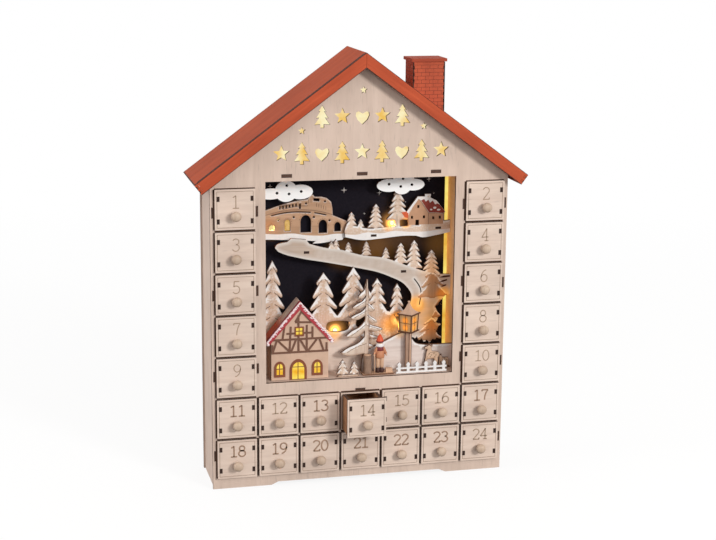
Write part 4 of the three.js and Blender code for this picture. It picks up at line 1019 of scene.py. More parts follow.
def planted(rows, seed):
    """Outlines and burnt lines of a row of firs."""
    firs = [fir(*row, seed=seed + i) for i, row in enumerate(rows)]
    return [ring for ring, _ in firs], [line for _, lines in firs for line in lines]


def village_piece(node, mesh):
    piece = add_piece(node + "_board", mesh, "house")
    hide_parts(node)
    return piece


def add_shelves(mesh, shelves, front):
    """Joins the shelves that tie a hanging layer to the sky board to its mesh."""
    work = bmesh.new()
    work.from_mesh(mesh)
    for x0, x1, z in shelves:
        low = (x0, front_mm + front + PLY - 0.02, room_floor + z - PLY / 2)
        high = (x1, front_mm + SKY_FRONT - SEAM, room_floor + z + PLY / 2)
        board(work, low, high, 1, 1)
    work.to_mesh(mesh)
    work.free()
    return mesh


def village_board(node, rings, front, thick, veneer, holes=(), within=(), detailed=True,
                  edge=None, shelves=()):
    """Replaces a CAD board by the same board with its print, its burnt edge and its shelves."""
    mesh = cut_board(node, rings, front, thick, [veneer, edge or scene_edge], holes, within, detailed)
    village_piece(node, add_shelves(mesh, shelves, front) if shelves else mesh)


def printed(name, rings, front, material, within=(), holes=()):
    """A thin layer of printed colour on the face of a board."""
    return fixed_board(name, rings, front - PRINT, PRINT, [material], holes, within)


def engraved(name, strokes, front, width=0.35, ink=None):
    """Burnt lines on the face of a village board."""
    place = Matrix.Translation((0.0, (front_mm + front) * MM, room_floor * MM)) @ standing
    return add_piece(name, lines_mesh(name, strokes, width, 0.1, ink or dark_burn, place), "house")


# Fir forest and snowy hill at the back of the floor, with the glade that a lamp shines out of.
FOREST_FRONT = 29.0
FOREST_FIRS = [(-84, 40, 118.2, 15.5, 6), (-31.9, 50, 103.5, 16.5, 4), (-1, 52, 108, 17, 4),
               (12.5, 56, 92.1, 5, 3), (23.9, 56, 95, 11.5, 4), (44.8, 54, 88.7, 8.6, 4)]
crest = smooth([(-WALL, 52), (-60, 46), (-30, 56), (0, 60), (25, 61), (41, 57), (48, 36), (52, 0)], 40)
forest_firs, forest_lines = planted(FOREST_FIRS, 1)
forest_rings = [crest + [(-WALL, 0)]] + forest_firs
glade = smooth([(-29, 44.6), (-27.6, 51), (-20, 52.8), (-10, 52.2), (-5, 50.4), (-6, 43.6), (-14, 41.2),
                (-24, 41.6)], 28)
dark_gap = smooth([(2, 47), (2.6, 52.4), (6, 55), (10.6, 56), (11.4, 51), (9.4, 46.4), (5, 43.8)], 20)
forest_room = [box_ring(-WALL, WALL, 0, ROOM_HEIGHT - SEAM)]
forest_hole = [glade, dark_gap, box_ring(-63, -57, -3, 4)]
forest_wood = snowed_wood("forest_plywood", "Z", (0.72, 0.53, 0.40), (0.52, 0.34, 0.24), 3.4, burn=0.5,
                          spots=FOREST_LIGHT, frosty=0.3)
village_board("fir_forest", forest_rings, FOREST_FRONT, PLY, forest_wood, forest_hole, forest_room)
ground_wood = snowed_wood("forest_ground", "X", (0.80, 0.67, 0.59), (0.66, 0.52, 0.44), 1.6, 0.2,
                          [in_room(-21, 29, 40, 14.0, 0.8)])
ground_ring = smooth([(-34, 44), (-27, 42.2), (-20, 40.4), (-10, 40.6), (-3, 42.4), (3, 40), (7, 33),
                      (9, 20), (9, 0)], 32)
fixed_board("forest_ground_snow", [ground_ring + [(-34, 0)]], FOREST_FRONT - PRINT, PRINT, [ground_wood],
            forest_hole, forest_rings, True)
forest_lines = [line for line in forest_lines if min(x for x, _ in line) > -WALL]
engraved("forest_bough_lines", forest_lines, FOREST_FRONT, 0.6)

HILL_FRONT = 22.0
hill_crest = smooth([(6, 0), (7.5, 14), (12, 22), (30.3, 30.4), (48.4, 38.2), (58, 33), (68, 25.2),
                     (WALL, 24.2)], 40)
hill_wood = snowed_wood("hill_plywood", "X", (0.74, 0.65, 0.61), (0.60, 0.49, 0.44), 2.4,
                        spots=[in_room(46, 22, 38, 9.0, 0.5)])
village_board("snow_hill", [hill_crest + [(WALL, 0)]], HILL_FRONT, PLY, hill_wood)

# Viaduct with its train, hung before the sky on the left.
VIADUCT_FRONT = 44.0
skyline = smooth([(-WALL, 161.4), (-86.9, 166.4), (-74.3, 170.4), (-59.4, 174.1), (-45, 176)], 16)
engine = [(-42, 180), (-39.6, 180.6), (-37.8, 178.2), (-30.8, 178), (-25.5, 176.5), (-20.9, 172.5),
          (-19.6, 166), (-19.2, 158.7), (-14.2, 156.6), (-4, 152)]
viaduct_bank = [(-3, 135.6), (-8, 135.4), (-9, 133.2)] + smooth([(-22, 131.6), (-31, 130.6), (-40, 130.4)], 8)
viaduct_bank += smooth([(-36.5, 132.9), (-62.7, 134.9), (-87, 136.3), (-WALL, 136.3)], 16)
ARCHES = [(-84.4, -78.9, 145.5, 150.8), (-68.6, -62.7, 144.2, 155.8), (-52.3, -41.5, 142.2, 159.8),
          (-33.6, -25, 141, 154.4), (-17.5, -10.9, 142.1, 151.5)]
viaduct_holes = [arched(*opening) for opening in ARCHES]
viaduct_holes += [ellipse(x, z, 1.0, 1.0, 12) for x, z in ((-75, 155.9), (-59.2, 158.1), (-38.6, 157.5),
                                                           (-22.5, 153.6), (-46.6, 171.7), (-27.3, 173.2))]
for i in range(6):
    x, z = -74 + 3.3 * i, 168.2 + 0.4 * i
    viaduct_holes.append([(x, z - 1.6), (x + 1.4, z - 1.5), (x + 1.4, z + 1.7), (x, z + 1.6)])
viaduct_holes.append([(-53.6, 166.4), (-52, 166.6), (-52, 171.6), (-53.6, 171.4)])
viaduct_holes.append([(-39, 174), (-33, 173.4), (-33, 176.2), (-39, 176.6)])
for line in ([(-82, 161), (-68.5, 163.4), (-56, 163.9), (-42, 163)],
             [(-38, 162.4), (-33, 161.4), (-26, 159.8)]):
    upper = smooth(line, 12)
    viaduct_holes.append(upper + [(x, z - 1.0) for x, z in reversed(upper)])
viaduct_rings = [skyline + engine + viaduct_bank]
peach_wood = snowed_wood("peach_plywood", "X", (0.58, 0.36, 0.23), (0.42, 0.245, 0.145), 0.7,
                         spots=[in_room(-84, 44, 150, 15.0, 0.35)])
village_board("viaduct_train", viaduct_rings, VIADUCT_FRONT, PLY, peach_wood, viaduct_holes, forest_room,
              shelves=[(-75, -30, 138.5)])
bank_top = smooth([(-WALL, 142.6), (-90, 142.4), (-76, 141.3), (-60, 141.6), (-47, 139.4), (-30, 138.2),
                   (-17, 139.6), (-8, 139.4), (-3, 141)], 30)
arch_glow = glowing("arch_glow", (0.55, 0.27, 0.05), (1.0, 0.80, 0.36), 30.0, "X", -81.5, 1.0, 300.0)
fixed_board("arch_glow_film", [box_ring(-86, -61, 141, 157.5)], VIADUCT_FRONT + PLY + 0.05, 0.1, [arch_glow])
printed("viaduct_snow_bank", [bank_top[::-1] + [(-WALL, 130), (-3, 130)]], VIADUCT_FRONT, snow_print,
        viaduct_rings, viaduct_holes)
voussoirs = []
for x0, x1, low, high in ARCHES:
    ring = arched(x0 - 1.5, x1 + 1.5, low, high + 1.6, 16)[2:]
    voussoirs += [[a, ((a[0] + b[0]) / 2, (a[1] + b[1]) / 2)] for a, b in zip(ring[::2], ring[1::2])]
voussoirs.append(smooth([(-WALL, 158.5), (-86, 161.6), (-70, 165.0), (-55, 165.6), (-41, 164.6), (-30, 162.6),
                         (-19.6, 159.4)], 24))
voussoirs.append(smooth([(-70, 166.4), (-58, 169), (-45, 169.4)], 10))
voussoirs += [[(x, 174.6 + 0.06 * (x + 60)), (x, 171.0 + 0.06 * (x + 60))] for x in (-44.0, -41.6)]
voussoirs += [[(-36 + 2.4 * i, 171.6 - 0.9 * i), (-36 + 2.4 * i, 168 - 0.9 * i)] for i in range(5)]
engraved("viaduct_lines", voussoirs, VIADUCT_FRONT)

# Hilltop village on the right, with printed red roofs.
HILLTOP_FRONT = 40.0
ground = smooth([(-8, 143), (-5, 149), (3, 147.5), (17.9, 144.3), (33.2, 145), (58.7, 145.4)], 24)
hilltop_bank = smooth([(90, 135.2), (75.1, 133.1), (66.3, 135.1), (50.8, 135.4), (27.3, 133.4), (10, 132.8),
                       (-7, 136.5)], 28)
house_ring = [(58.7, 144), (58.5, 156.5), (56.8, 160.2), (58.4, 162.5), (68.3, 175.6), (76, 175.4),
              (76, 177.7), (82, 177.7), (81.8, 174), (88, 171), (97.7, 159.1), (96.2, 156.8), (95.8, 144)]
barn_ring = [(51.2, 159.6), (58.6, 161), (58.6, 153.6), (55, 154.4)]
HILLTOP_FIRS = [(-0.7, 146, 162, 5.5, 3), (8.9, 144, 154.4, 3.6, 2), (24.6, 143, 169.6, 8.4, 5),
                (47.4, 144, 184, 11.5, 5, 8)]
hilltop_rings = [ground + [(WALL, 150.2), (WALL, 137.6)] + hilltop_bank, house_ring, barn_ring]
hilltop_firs, hilltop_fir_lines = planted(HILLTOP_FIRS, 20)
hilltop_rings += hilltop_firs
hilltop_holes = [box_ring(x - 1.1, x + 1.1, z - 1.5, z + 1.5)
                 for x, z in ((69, 165.2), (62.4, 154.3), (75.1, 154.3), (85, 153), (92, 153.3))]
hilltop_holes.append(box_ring(66.2, 70, 145.8, 151.6))
hilltop_wood = snowed_wood("hilltop_plywood", "X", burn=0.5, spots=HILLTOP_LIGHT, frosty=0.4)
village_board("hilltop_village", hilltop_rings, HILLTOP_FRONT, PLY, hilltop_wood, hilltop_holes, forest_room,
              shelves=[(17, 28, 136), (84, 97, 142)])
roof_print = plain_finish("roof_print", (0.24, 0.035, 0.022), 0.6, 0.1, 200.0, 0.35)
barn_print = plain_finish("barn_roof_print", (0.62, 0.10, 0.03), 0.6)
wall_print = plain_finish("house_wall_print", (0.50, 0.28, 0.17), 0.7, 0.1, 240.0, 0.15)
printed("hilltop_wall_print", [[(58.9, 146.5), (58.7, 156.5), (68.6, 174.4), (79.6, 158.4), (95.8, 156.8),
                                (95.6, 146.5)]],
        HILLTOP_FRONT, wall_print, [house_ring], hilltop_holes)
printed("hilltop_roof_print", [[(69.6, 174.9), (76, 174.8), (81.8, 173.6), (88, 170.6), (97.2, 159.3),
                                (96, 157.8), (80.4, 158.8)]],
        HILLTOP_FRONT - PRINT, roof_print, [house_ring], hilltop_holes)
printed("barn_roof_print", [barn_ring], HILLTOP_FRONT - PRINT, barn_print)
printed("hilltop_roof_snow", [
    [(67.2, 175.2), (76, 175.2), (82, 173.8), (88, 171), (92, 166.2), (88.6, 168), (86.8, 166.6), (84, 171),
     (81.2, 168.6), (79.4, 172), (76.8, 170), (75, 172.8), (71.6, 171.4), (69.8, 172.6)],
    [(56.6, 160), (58.4, 162.6), (68.6, 175.8), (69.6, 173.6), (60, 160.8), (58, 158.8)],
    [(75.8, 177.8), (82.2, 177.8), (82, 175.8), (79, 176.6), (75.9, 175.6)],
    ellipse(86.4, 163.4, 1.7, 1.1, 12), ellipse(90.6, 161.2, 1.9, 0.9, 12),
    ellipse(82.6, 161.6, 1.2, 0.8, 12)],
    HILLTOP_FRONT - 2 * PRINT, snow_print, [house_ring, box_ring(75.8, 82.2, 174, 178)], hilltop_holes)
hill_snow = smooth([(-8, 139.6), (4, 138.6), (16, 140.6), (30, 139), (44, 141), (60, 139.4), (76, 139.2),
                    (90, 140.4), (WALL, 141.4)], 36)
printed("hilltop_snow_bank", [hill_snow[::-1] + [(-9, 131), (WALL, 131)]], HILLTOP_FRONT, snow_print,
        [hilltop_rings[0]], hilltop_holes)
engraved("hilltop_lines", [[(68.6, 174.6), (79.8, 158.6)], [(79.8, 158.6), (79.8, 146.5)],
                           [(80.2, 158.2), (96.4, 157.4)],
                           [(33.2, 152), (33.2, 146)], [(46.6, 158), (46.8, 147)]] + hilltop_fir_lines,
         HILLTOP_FRONT - PRINT)

# Winding road with its firs, hung before both.
ROAD_FRONT = 35.0
kerb = smooth([(-80.1, 129.4), (-76.8, 133.2), (-63.9, 135), (-48.3, 132.9), (-36, 129.2), (-24, 126.4),
               (-11.5, 124.4), (9.6, 118.1), (32.3, 114.5), (50, 108), (74, 99), (92, 95)], 48)
verge = smooth([(58, 30), (50, 40), (54, 52), (60.6, 66), (61.8, 74.4), (58.3, 81.3), (51.4, 88.3),
                (39.9, 94.2), (26.4, 99.8), (9.7, 104.2), (-27.9, 112.5), (-47.6, 116.3), (-67.1, 121.3),
                (-76.8, 125.4)], 52)
BOUGH_TIPS = [(92.9, 50.5), (93.3, 41), (94.5, 27)]
BOUGH_NOTCHES = [(87.5, 61), (88.6, 44.5), (88.8, 34.5)]
lit_bank = [(WALL, 94.2), (WALL, 73), (98, 72.6)]
for (tip_x, tip_z), (notch_x, notch_z) in zip(BOUGH_TIPS, BOUGH_NOTCHES):
    lit_bank += smooth([(notch_x, notch_z), (0.6 * notch_x + 0.4 * tip_x, 0.5 * notch_z + 0.5 * tip_z),
                        (tip_x, tip_z + 1.4), (tip_x, tip_z), (tip_x - 1.6, tip_z - 0.6)], 10)
for left, low in ((86, 25.6), (80.6, 23.2), (75, 24), (69.6, 26), (64.8, 28.2)):
    lit_bank += [(left + 3.4, low + 2.2), (left + 2.6, low + 0.4), (left + 0.8, low), (left, low + 1.2)]
road_ring = kerb + lit_bank + verge
road_spur = [(-72, 131), (-66.6, 135.8), (-63.8, 138.2), (-48.5, 136.6), (-43, 129)]
ROAD_FIRS = [(-22.4, 124, 133.8, 3.4, 2), (-17.6, 122, 135.8, 4.4, 3), (-5, 120, 132.4, 4.2, 3),
             (13.7, 116, 132.3, 5.4, 4), (34.1, 112, 125.2, 4.4, 3), (49.8, 106, 129.5, 8, 4),
             (63.9, 100, 131.6, 9.5, 5), (82.4, 93, 120.9, 10, 5)]
hedge = smooth([(64.9, 91.7), (69.1, 86.1), (71.9, 80.6), (72.4, 73.9), (70.8, 63.8)], 14)
road_holes = [hedge + [(x - 1.1, z - 0.4) for x, z in reversed(hedge)]]
road_firs, road_lines = planted(ROAD_FIRS, 40)
road_fir_wood = snowed_wood("road_fir_plywood", "X", burn=0.5, spots=ROAD_LIGHT, frosty=0.4)
village_board("winding_road", [road_ring, road_spur] + road_firs, ROAD_FRONT, PLY, road_fir_wood, road_holes,
              forest_room, shelves=[(-52, -44, 123.5), (49, 57, 99.5)])
road_wood, tree = blank_material("road_wood")
road_colour, road_height = wood_grain(tree, "X", (0.565, 0.45, 0.375), (0.44, 0.34, 0.27), 1.2)
worn_edge = ranged(tree, attribute(tree, "rim"), 4.5, 0.6, 0.0, 0.75)
road_snow = mix_colour(tree, worn_edge, road_colour, (0.70, 0.66, 0.63))
finish_wood(tree, road_snow, road_height, glow=warm_pools(tree, ROAD_LIGHT))
fixed_board("road_surface", [road_ring, road_spur], ROAD_FRONT - PRINT, PRINT, [road_wood], road_holes,
            detailed=True)
hillside_wood = snowed_wood("hillside_plywood", "Z", (0.50, 0.29, 0.16), (0.33, 0.17, 0.085), 1.5, 0.3,
                            ROAD_LIGHT)
HILLSIDE_FIRS = [(84, 70, 103, 16, 3, 1), (84, 24, 50, 17, 3, 1), (92, 48, 70, 8, 2, 1)]
hillside_firs, hillside_lines = planted(HILLSIDE_FIRS, 71)
for i, ring in enumerate(hillside_firs):
    fixed_board("hillside_fir_%d" % (i + 1), [ring], ROAD_FRONT - 2 * PRINT, PRINT, [hillside_wood],
                within=[road_ring], detailed=True)
bough_burn = plain_finish("bough_burn", (0.20, 0.09, 0.04), 0.8)
engraved("hillside_bough_lines", hillside_lines, ROAD_FRONT - 2 * PRINT, 0.5, bough_burn)
# Painted shade: dark patches on the road board's right end stand for the shade seen through gaps between the
# bank's boughs.
painted_bank_gap_shade = [[(90.5, 91.6), (96, 93.2), (WALL - 0.6, 93.4), (WALL - 0.6, 91.8), (95, 91)],
             [(91, 86.4), (95, 88.6), (99.6, 89.4), (99.4, 87.9), (95, 86.6)],
             [(92.6, 81.6), (96.2, 83.6), (99, 84), (98.6, 82.6), (95.4, 81.4)]]
printed("painted_bank_gap_shade", painted_bank_gap_shade, ROAD_FRONT - 3 * PRINT, burn_and_painted_shade)
engraved("road_bough_lines", road_lines, ROAD_FRONT - PRINT, 0.4)
SHELF_ENDS = [("road", 1, ROAD_FRONT, -48, 123.5, 2.8, 1.3), ("road", 2, ROAD_FRONT, 53, 99.5, 2.8, 1.3),
              ("hilltop", 1, HILLTOP_FRONT, 22.5, 137, 3.0, 1.2),
              ("hilltop", 2, HILLTOP_FRONT, 90.5, 142.4, 3.0, 1.2)]
for layer, i, front, x, z, wide, tall in SHELF_ENDS:
    printed("%s_shelf_end_%d" % (layer, i), [box_ring(x - wide, x + wide, z - tall, z + tall)], front - PRINT,
            tenon_burn)


# Tall fir and small firs
# The tall fir stands free before the hill, its loose boughs left on a slender trunk. Two small firs with
# printed snow stand at the front edge.
FIR_FRONT = 17.0
FENCE_FRONT = 6.0
THIN_PLY = 2.0
FIR_STEM = 10.3
LEFT_BOUGHS = [(93, 81.2, 1.5, 79), (81.2, 69.9, -4.5, 68.2), (69.9, 59.9, -6.7, 57.5), (58, 44, -11, 38.8),
               (41, 20.2, -16.4, 21.5)]
RIGHT_BOUGHS = [(93, 78.5, 15.5, 79.6), (78.5, 65.2, 18.4, 65.5), (65.2, 56, 21.3, 53), (54, 45, 27, 44.6),
                (43, 40, 23.1, 36.3), (34, 28, 17.6, 27.3)]


def bough(stem, above, below, tip, tip_height):
    """A bough that falls steeply, flattens and curls at its tip, with a sagging underside."""
    reach, fall = tip - stem, above - tip_height
    upper = smooth([(stem, above), (stem + 0.12 * reach, above - 0.24 * fall),
                    (stem + 0.36 * reach, above - 0.52 * fall), (stem + 0.72 * reach, above - 0.72 * fall),
                    (tip, tip_height + 0.6)], 14)
    sag = min(tip_height, below) - 1.2
    lower = smooth([(tip - 0.03 * reach, tip_height - 0.8), (stem + 0.8 * reach, sag),
                    (stem + 0.52 * reach, sag - 0.5), (stem + 0.25 * reach, 0.5 * (sag + below)),
                    (stem + 0.1 * reach, below)], 10)
    return upper + lower + [(stem, below)]


fir_trunk = [(8.2, 0.3), (12.3, 0.3), (12.6, 45), (11, 97), (10, 97), (8.4, 45)]
cream_wood = snowed_wood("cream_plywood", "Z", (0.70, 0.57, 0.47), (0.52, 0.38, 0.30), 3.0)
fir_boughs = [bough(FIR_STEM, *row) for row in LEFT_BOUGHS + RIGHT_BOUGHS]
village_board("tall_fir", [fir_trunk] + fir_boughs, FIR_FRONT, PLY, cream_wood)
fir_veins = [smooth([(FIR_STEM, 0.5 * (above + below)),
                     (FIR_STEM + 0.4 * (tip - FIR_STEM), 0.3 * above + 0.7 * height),
                     (FIR_STEM + 0.75 * (tip - FIR_STEM), height + 0.6)], 6)
             for above, below, tip, height in LEFT_BOUGHS[1:] + RIGHT_BOUGHS[1:4]]
engraved("tall_fir_veins", fir_veins, FIR_FRONT, 0.5, scene_edge)

small_fir_rows = [(-16.8, 1, 18.3, 6.4, 3), (-4.9, 1, 16.3, 5.4, 3)]
small_fir_rings, small_fir_lines = planted(small_fir_rows, 60)
small_fir_rings.append([(-23, 0.3), (0.5, 0.3), (-1, 2.4), (-21, 2.4)])
small_fir_wood = snowed_wood("small_fir_plywood", "Z", depth=1.8, frosty=0.6)
village_board("small_firs", small_fir_rings, FENCE_FRONT, THIN_PLY, small_fir_wood)
engraved("small_fir_lines", small_fir_lines, FENCE_FRONT, 0.45)


# Half-timbered cottage
# A thin plywood front with glued beams, arched windows lit from inside and a steep planked roof. Its red
# bargeboards carry lumps of snow paste.
HOUSE_MIDDLE = -60.3
WALL_HALF = 29.0
EAVE_HALF = 34.9
EAVE = 39.2
PEAK = 80.5
HOUSE_FRONT = FENCE_FRONT + THIN_PLY
HOUSE_BACK = FOREST_FRONT - THIN_PLY
BEAM = 2.0
BEAM_RAISE = 0.55
FRAME = 1.3
BARGE = 5.5
roof_rise = (PEAK - EAVE) / EAVE_HALF
roof_stretch = math.sqrt(1 + roof_rise ** 2)
roof_drop = THIN_PLY * roof_stretch
under_peak = PEAK - roof_drop


def pitched(depth, half=EAVE_HALF, peak=PEAK):
    """An upside-down V of one thickness, measured square to the slope."""
    foot = peak - half * roof_rise
    return [(HOUSE_MIDDLE - half, foot), (HOUSE_MIDDLE - half + 0.6 * depth, foot - 0.5 * depth),
            (HOUSE_MIDDLE, peak - depth * roof_stretch),
            (HOUSE_MIDDLE + half - 0.6 * depth, foot - 0.5 * depth),
            (HOUSE_MIDDLE + half, foot), (HOUSE_MIDDLE, peak)]


def beam_ring(x0, z0, x1, z1, width=BEAM):
    length = math.hypot(x1 - x0, z1 - z0)
    dx, dz = (z0 - z1) / length * width / 2, (x1 - x0) / length * width / 2
    return [(x0 + dx, z0 + dz), (x0 - dx, z0 - dz), (x1 - dx, z1 - dz), (x1 + dx, z1 + dz)]


def grown_arch(x0, x1, low, high, by):
    return arched(x0 - by, x1 + by, low - by, high + by, 16)


wall_left, wall_right = HOUSE_MIDDLE - WALL_HALF, HOUSE_MIDDLE + WALL_HALF
wall_top = under_peak - WALL_HALF * roof_rise + 1
WINDOWS = [(-85.6, -76.2, 4.4, 18.8), (-47.4, -38, 4.4, 18.8)]
DOOR = (-70.6, -53.6, 0.2, 21)
GABLE_WINDOW = (-64.4, -57.6, 46, 53.2)
cottage_holes = [arched(*spot) for spot in WINDOWS + [DOOR]] + [box_ring(*GABLE_WINDOW)]
plaster = plain_finish("cottage_plywood", (0.58, 0.39, 0.29), 0.65, 0.15, 160.0, 0.14)
beam_stain = plain_finish("beam_stain", (0.15, 0.07, 0.045), 0.7)
frame_stain = plain_finish("window_frame_stain", (0.20, 0.06, 0.028), 0.6)
barge_stain = plain_finish("barge_stain", (0.36, 0.035, 0.045), 0.55, 0.15, 220.0, 0.3)
snow_paste = plain_finish("snow_paste", (0.84, 0.70, 0.72), 0.8, 0.4, 700.0, 0.12)


def roof_planks():
    """Red stain at the eaves that turns to pale wood colour towards the ridge."""
    material, tree = blank_material("plank_stain")
    colour, height = wood_grain(tree, "Z", (0.74, 0.60, 0.52), (0.50, 0.36, 0.30), 1.2)
    split = wired(tree, "SeparateXYZ", {0: object_place(tree)})
    toward_ridge = ranged(tree, split.outputs["Z"], (room_floor + 0.68 * PEAK) * MM, (room_floor + 0.8 * PEAK) * MM)
    finish_wood(tree, mix_colour(tree, toward_ridge, (0.56, 0.11, 0.055), colour), height, 0.7, 0.2)
    return material


plank_stain = roof_planks()
window_glow = glowing("window_glow", (0.90, 0.42, 0.02), (1.0, 0.80, 0.14), 12.0, "Z", 12.0, 1.0, 260.0)

gable_ring = [(wall_left, 0.3), (wall_right, 0.3), (wall_right, wall_top), (HOUSE_MIDDLE, under_peak + 1),
              (wall_left, wall_top)]
cottage = cut_board("cottage_front", [gable_ring], HOUSE_FRONT, PLY, [plaster, scene_edge], cottage_holes,
                    detailed=False)
village_piece("half_timbered_cottage", cottage)
work = bmesh.new()
for x in (wall_left, wall_right - PLY):
    low = (x, front_mm + HOUSE_FRONT + PLY, room_floor + 0.3)
    high = (x + PLY, front_mm + HOUSE_BACK, room_floor + wall_top)
    board(work, low, high, 0, 0)
add_piece("cottage_side_walls", mesh_of(work, "cottage_side_walls", plaster), "house")
PLANKS = 6
plank_depth = (HOUSE_BACK - HOUSE_FRONT - 0.5) / PLANKS
for i in range(PLANKS):
    stain = barge_stain if i == 0 else plank_stain
    rings = [pitched(THIN_PLY, EAVE_HALF - 0.2 * (i % 2), PEAK - 0.12 * (i % 2))]
    fixed_board("cottage_plank_%d" % (i + 1), rings, HOUSE_FRONT + 0.4 + i * plank_depth, plank_depth - 0.35,
                [stain, stain])
fixed_board("cottage_bargeboards", [pitched(BARGE)], FENCE_FRONT + 0.9, THIN_PLY - 0.7,
            [barge_stain, barge_stain])

BEAMS = [(-90, 41.8, -31, 41.8), (-89.3, 28.5, -31.3, 28.5), (-65.1, 59.3, -58.6, 70),
         (-48.3, 58.4, -58.6, 70), (-65.1, 59.3, -48.3, 58.4), (-76, 55, -78, 42), (-69.6, 55, -70.9, 28.5),
         (-61.8, 46, -61.8, 28.5), (-61.8, 53.2, -61.8, 66), (-53.4, 56, -53.4, 28.5),
         (-47.6, 54, -47.6, 42), (-83.8, 41, -87.7, 29.5), (-82.5, 41, -70.9, 29.5), (-64.4, 41, -69, 29.5),
         (-59.9, 41, -53.4, 29.5), (-43, 41, -52, 29.5), (-40.4, 41, -36.5, 29.5), (-33.2, 37, -33.2, 28.5),
         (-88.2, 37, -88.2, 28.5), (-74, 47.8, -46.6, 47.8)]
inner_gable = [(wall_left + 0.3, 0.3), (wall_right - 0.3, 0.3), (wall_right - 0.3, wall_top - 1.5),
               (HOUSE_MIDDLE, under_peak - 2), (wall_left + 0.3, wall_top - 1.5)]
fixed_board("cottage_beams", [beam_ring(*row) for row in BEAMS], HOUSE_FRONT - BEAM_RAISE, BEAM_RAISE,
            [beam_stain, beam_stain], [box_ring(*GABLE_WINDOW)], [inner_gable])
x0, x1, low, high = GABLE_WINDOW
frames = [grown_arch(*spot, 0.9) for spot in WINDOWS]
frames += [arched(DOOR[0] - 0.2, DOOR[1] + 0.2, 0.2, DOOR[3] + 0.2),
           box_ring(x0 - FRAME, x1 + FRAME, low - FRAME, high + FRAME)]
panes = [grown_arch(*spot, -1.5) for spot in WINDOWS]
panes += [arched(DOOR[0] + 2.2, DOOR[1] - 2.2, 0.4, DOOR[3] - 2.8), box_ring(*GABLE_WINDOW)]
fixed_board("cottage_window_frames", frames, HOUSE_FRONT - 0.9, 0.9, [frame_stain, frame_stain], panes)
BAR_HALF = 0.4
bars = []
for x0, x1, low, high in WINDOWS + [GABLE_WINDOW]:
    across, up = (x0 + x1) / 2, (low + high) / 2
    bars += [box_ring(across - BAR_HALF, across + BAR_HALF, low - 0.2, high),
             box_ring(x0 - 0.2, x1 + 0.2, up - BAR_HALF, up + BAR_HALF)]
bars += [box_ring(-62.45, -61.75, 0.3, 20), box_ring(-70.6, -53.6, 12.6, 13.2)]
fixed_board("cottage_window_bars", bars, HOUSE_FRONT + 0.4, 0.6, [frame_stain, frame_stain],
            within=cottage_holes)
fixed_board("cottage_panes", cottage_holes, HOUSE_FRONT + 1.4, 0.4, [window_glow])

SNOW_LUMPS = 60
SNOW_REACH = EAVE_HALF - 1.4
draw = random.Random(7)
work = bmesh.new()


def snow_lump(side, along, radius, depth_down):
    x = HOUSE_MIDDLE + side * along * SNOW_REACH
    z = PEAK - along * SNOW_REACH * roof_rise - radius * roof_stretch - depth_down
    spot = Matrix.Translation((x * MM, (front_mm + FENCE_FRONT + 1.15) * MM, (room_floor + z) * MM))
    lump = spot @ Matrix.Diagonal((draw.uniform(0.9, 1.5), 1.0, draw.uniform(0.7, 1.0), 1.0))
    bmesh.ops.create_icosphere(work, subdivisions=2, radius=radius * MM, matrix=lump)


for side in (-1, 1):
    for i in range(SNOW_LUMPS):
        snow_lump(side, (i + draw.uniform(0.2, 0.8)) / SNOW_LUMPS, draw.uniform(0.7, 1.05), 0.0)
        if i % 2:
            snow_lump(side, (i + draw.uniform(0.1, 0.9)) / SNOW_LUMPS, draw.uniform(0.45, 0.95),
                      draw.uniform(1.2, 3.2))
for side in (-1, 1):
    x = HOUSE_MIDDLE + side * (EAVE_HALF - 2.6)
    spot = Matrix.Translation((x * MM, (front_mm + FENCE_FRONT + 1.9) * MM, (room_floor + EAVE - 1.4) * MM))
    bmesh.ops.create_icosphere(work, subdivisions=3, radius=1.8 * MM, matrix=spot)
for face in work.faces:
    face.smooth = True
add_piece("cottage_snow", mesh_of(work, "cottage_snow", snow_paste), "house")


# Street lamp
# A square post and a glazed lantern, both turned corner to front, with a spire roof and burnt edges. The
# panes glow.
LAMP_X = 54.0
LAMP_MIDDLE = 16.2
lamp_wood = plain_finish("lamp_wood", (0.55, 0.36, 0.26), 0.6, 0.15, 200.0, 0.18)
lamp_edge = plain_finish("lamp_edge", (0.11, 0.045, 0.025), 0.7)
PANE_LOW = 42.4
PANE_HIGH = 59.4


def lantern_panes():
    """Amber panes with hot spots where the lamp stands close behind them."""
    material, tree = blank_material("lantern_panes")
    colour, height = wood_grain(tree, "Z", (0.72, 0.50, 0.26), (0.50, 0.28, 0.12), 1.4)
    spots = [in_room(LAMP_X, LAMP_MIDDLE, 51, 14.0, 0.9)]
    for across in (-5.2, 4.6):
        spots.append(in_room(LAMP_X + across, LAMP_MIDDLE - 5.0, 46, 4.5, 2.6))
        spots.append(in_room(LAMP_X + across, LAMP_MIDDLE - 5.0, 54, 5.0, 1.6))
    finish_wood(tree, colour, height, 0.35, glow=warm_pools(tree, spots))
    return material


lantern_amber = lantern_panes()
work = bmesh.new()


def lamp_part(profile, material, sides=4, x=0.0, y=0.0, axis=(0, 0, 1), height=0.0):
    turned_profile(work, profile, (LAMP_X + x, front_mm + LAMP_MIDDLE + y, room_floor + height), axis, sides,
                   material, sides > 4)


def rod(radius, low, high):
    return [(0, low), (radius, low), (radius, high), (0, high)]


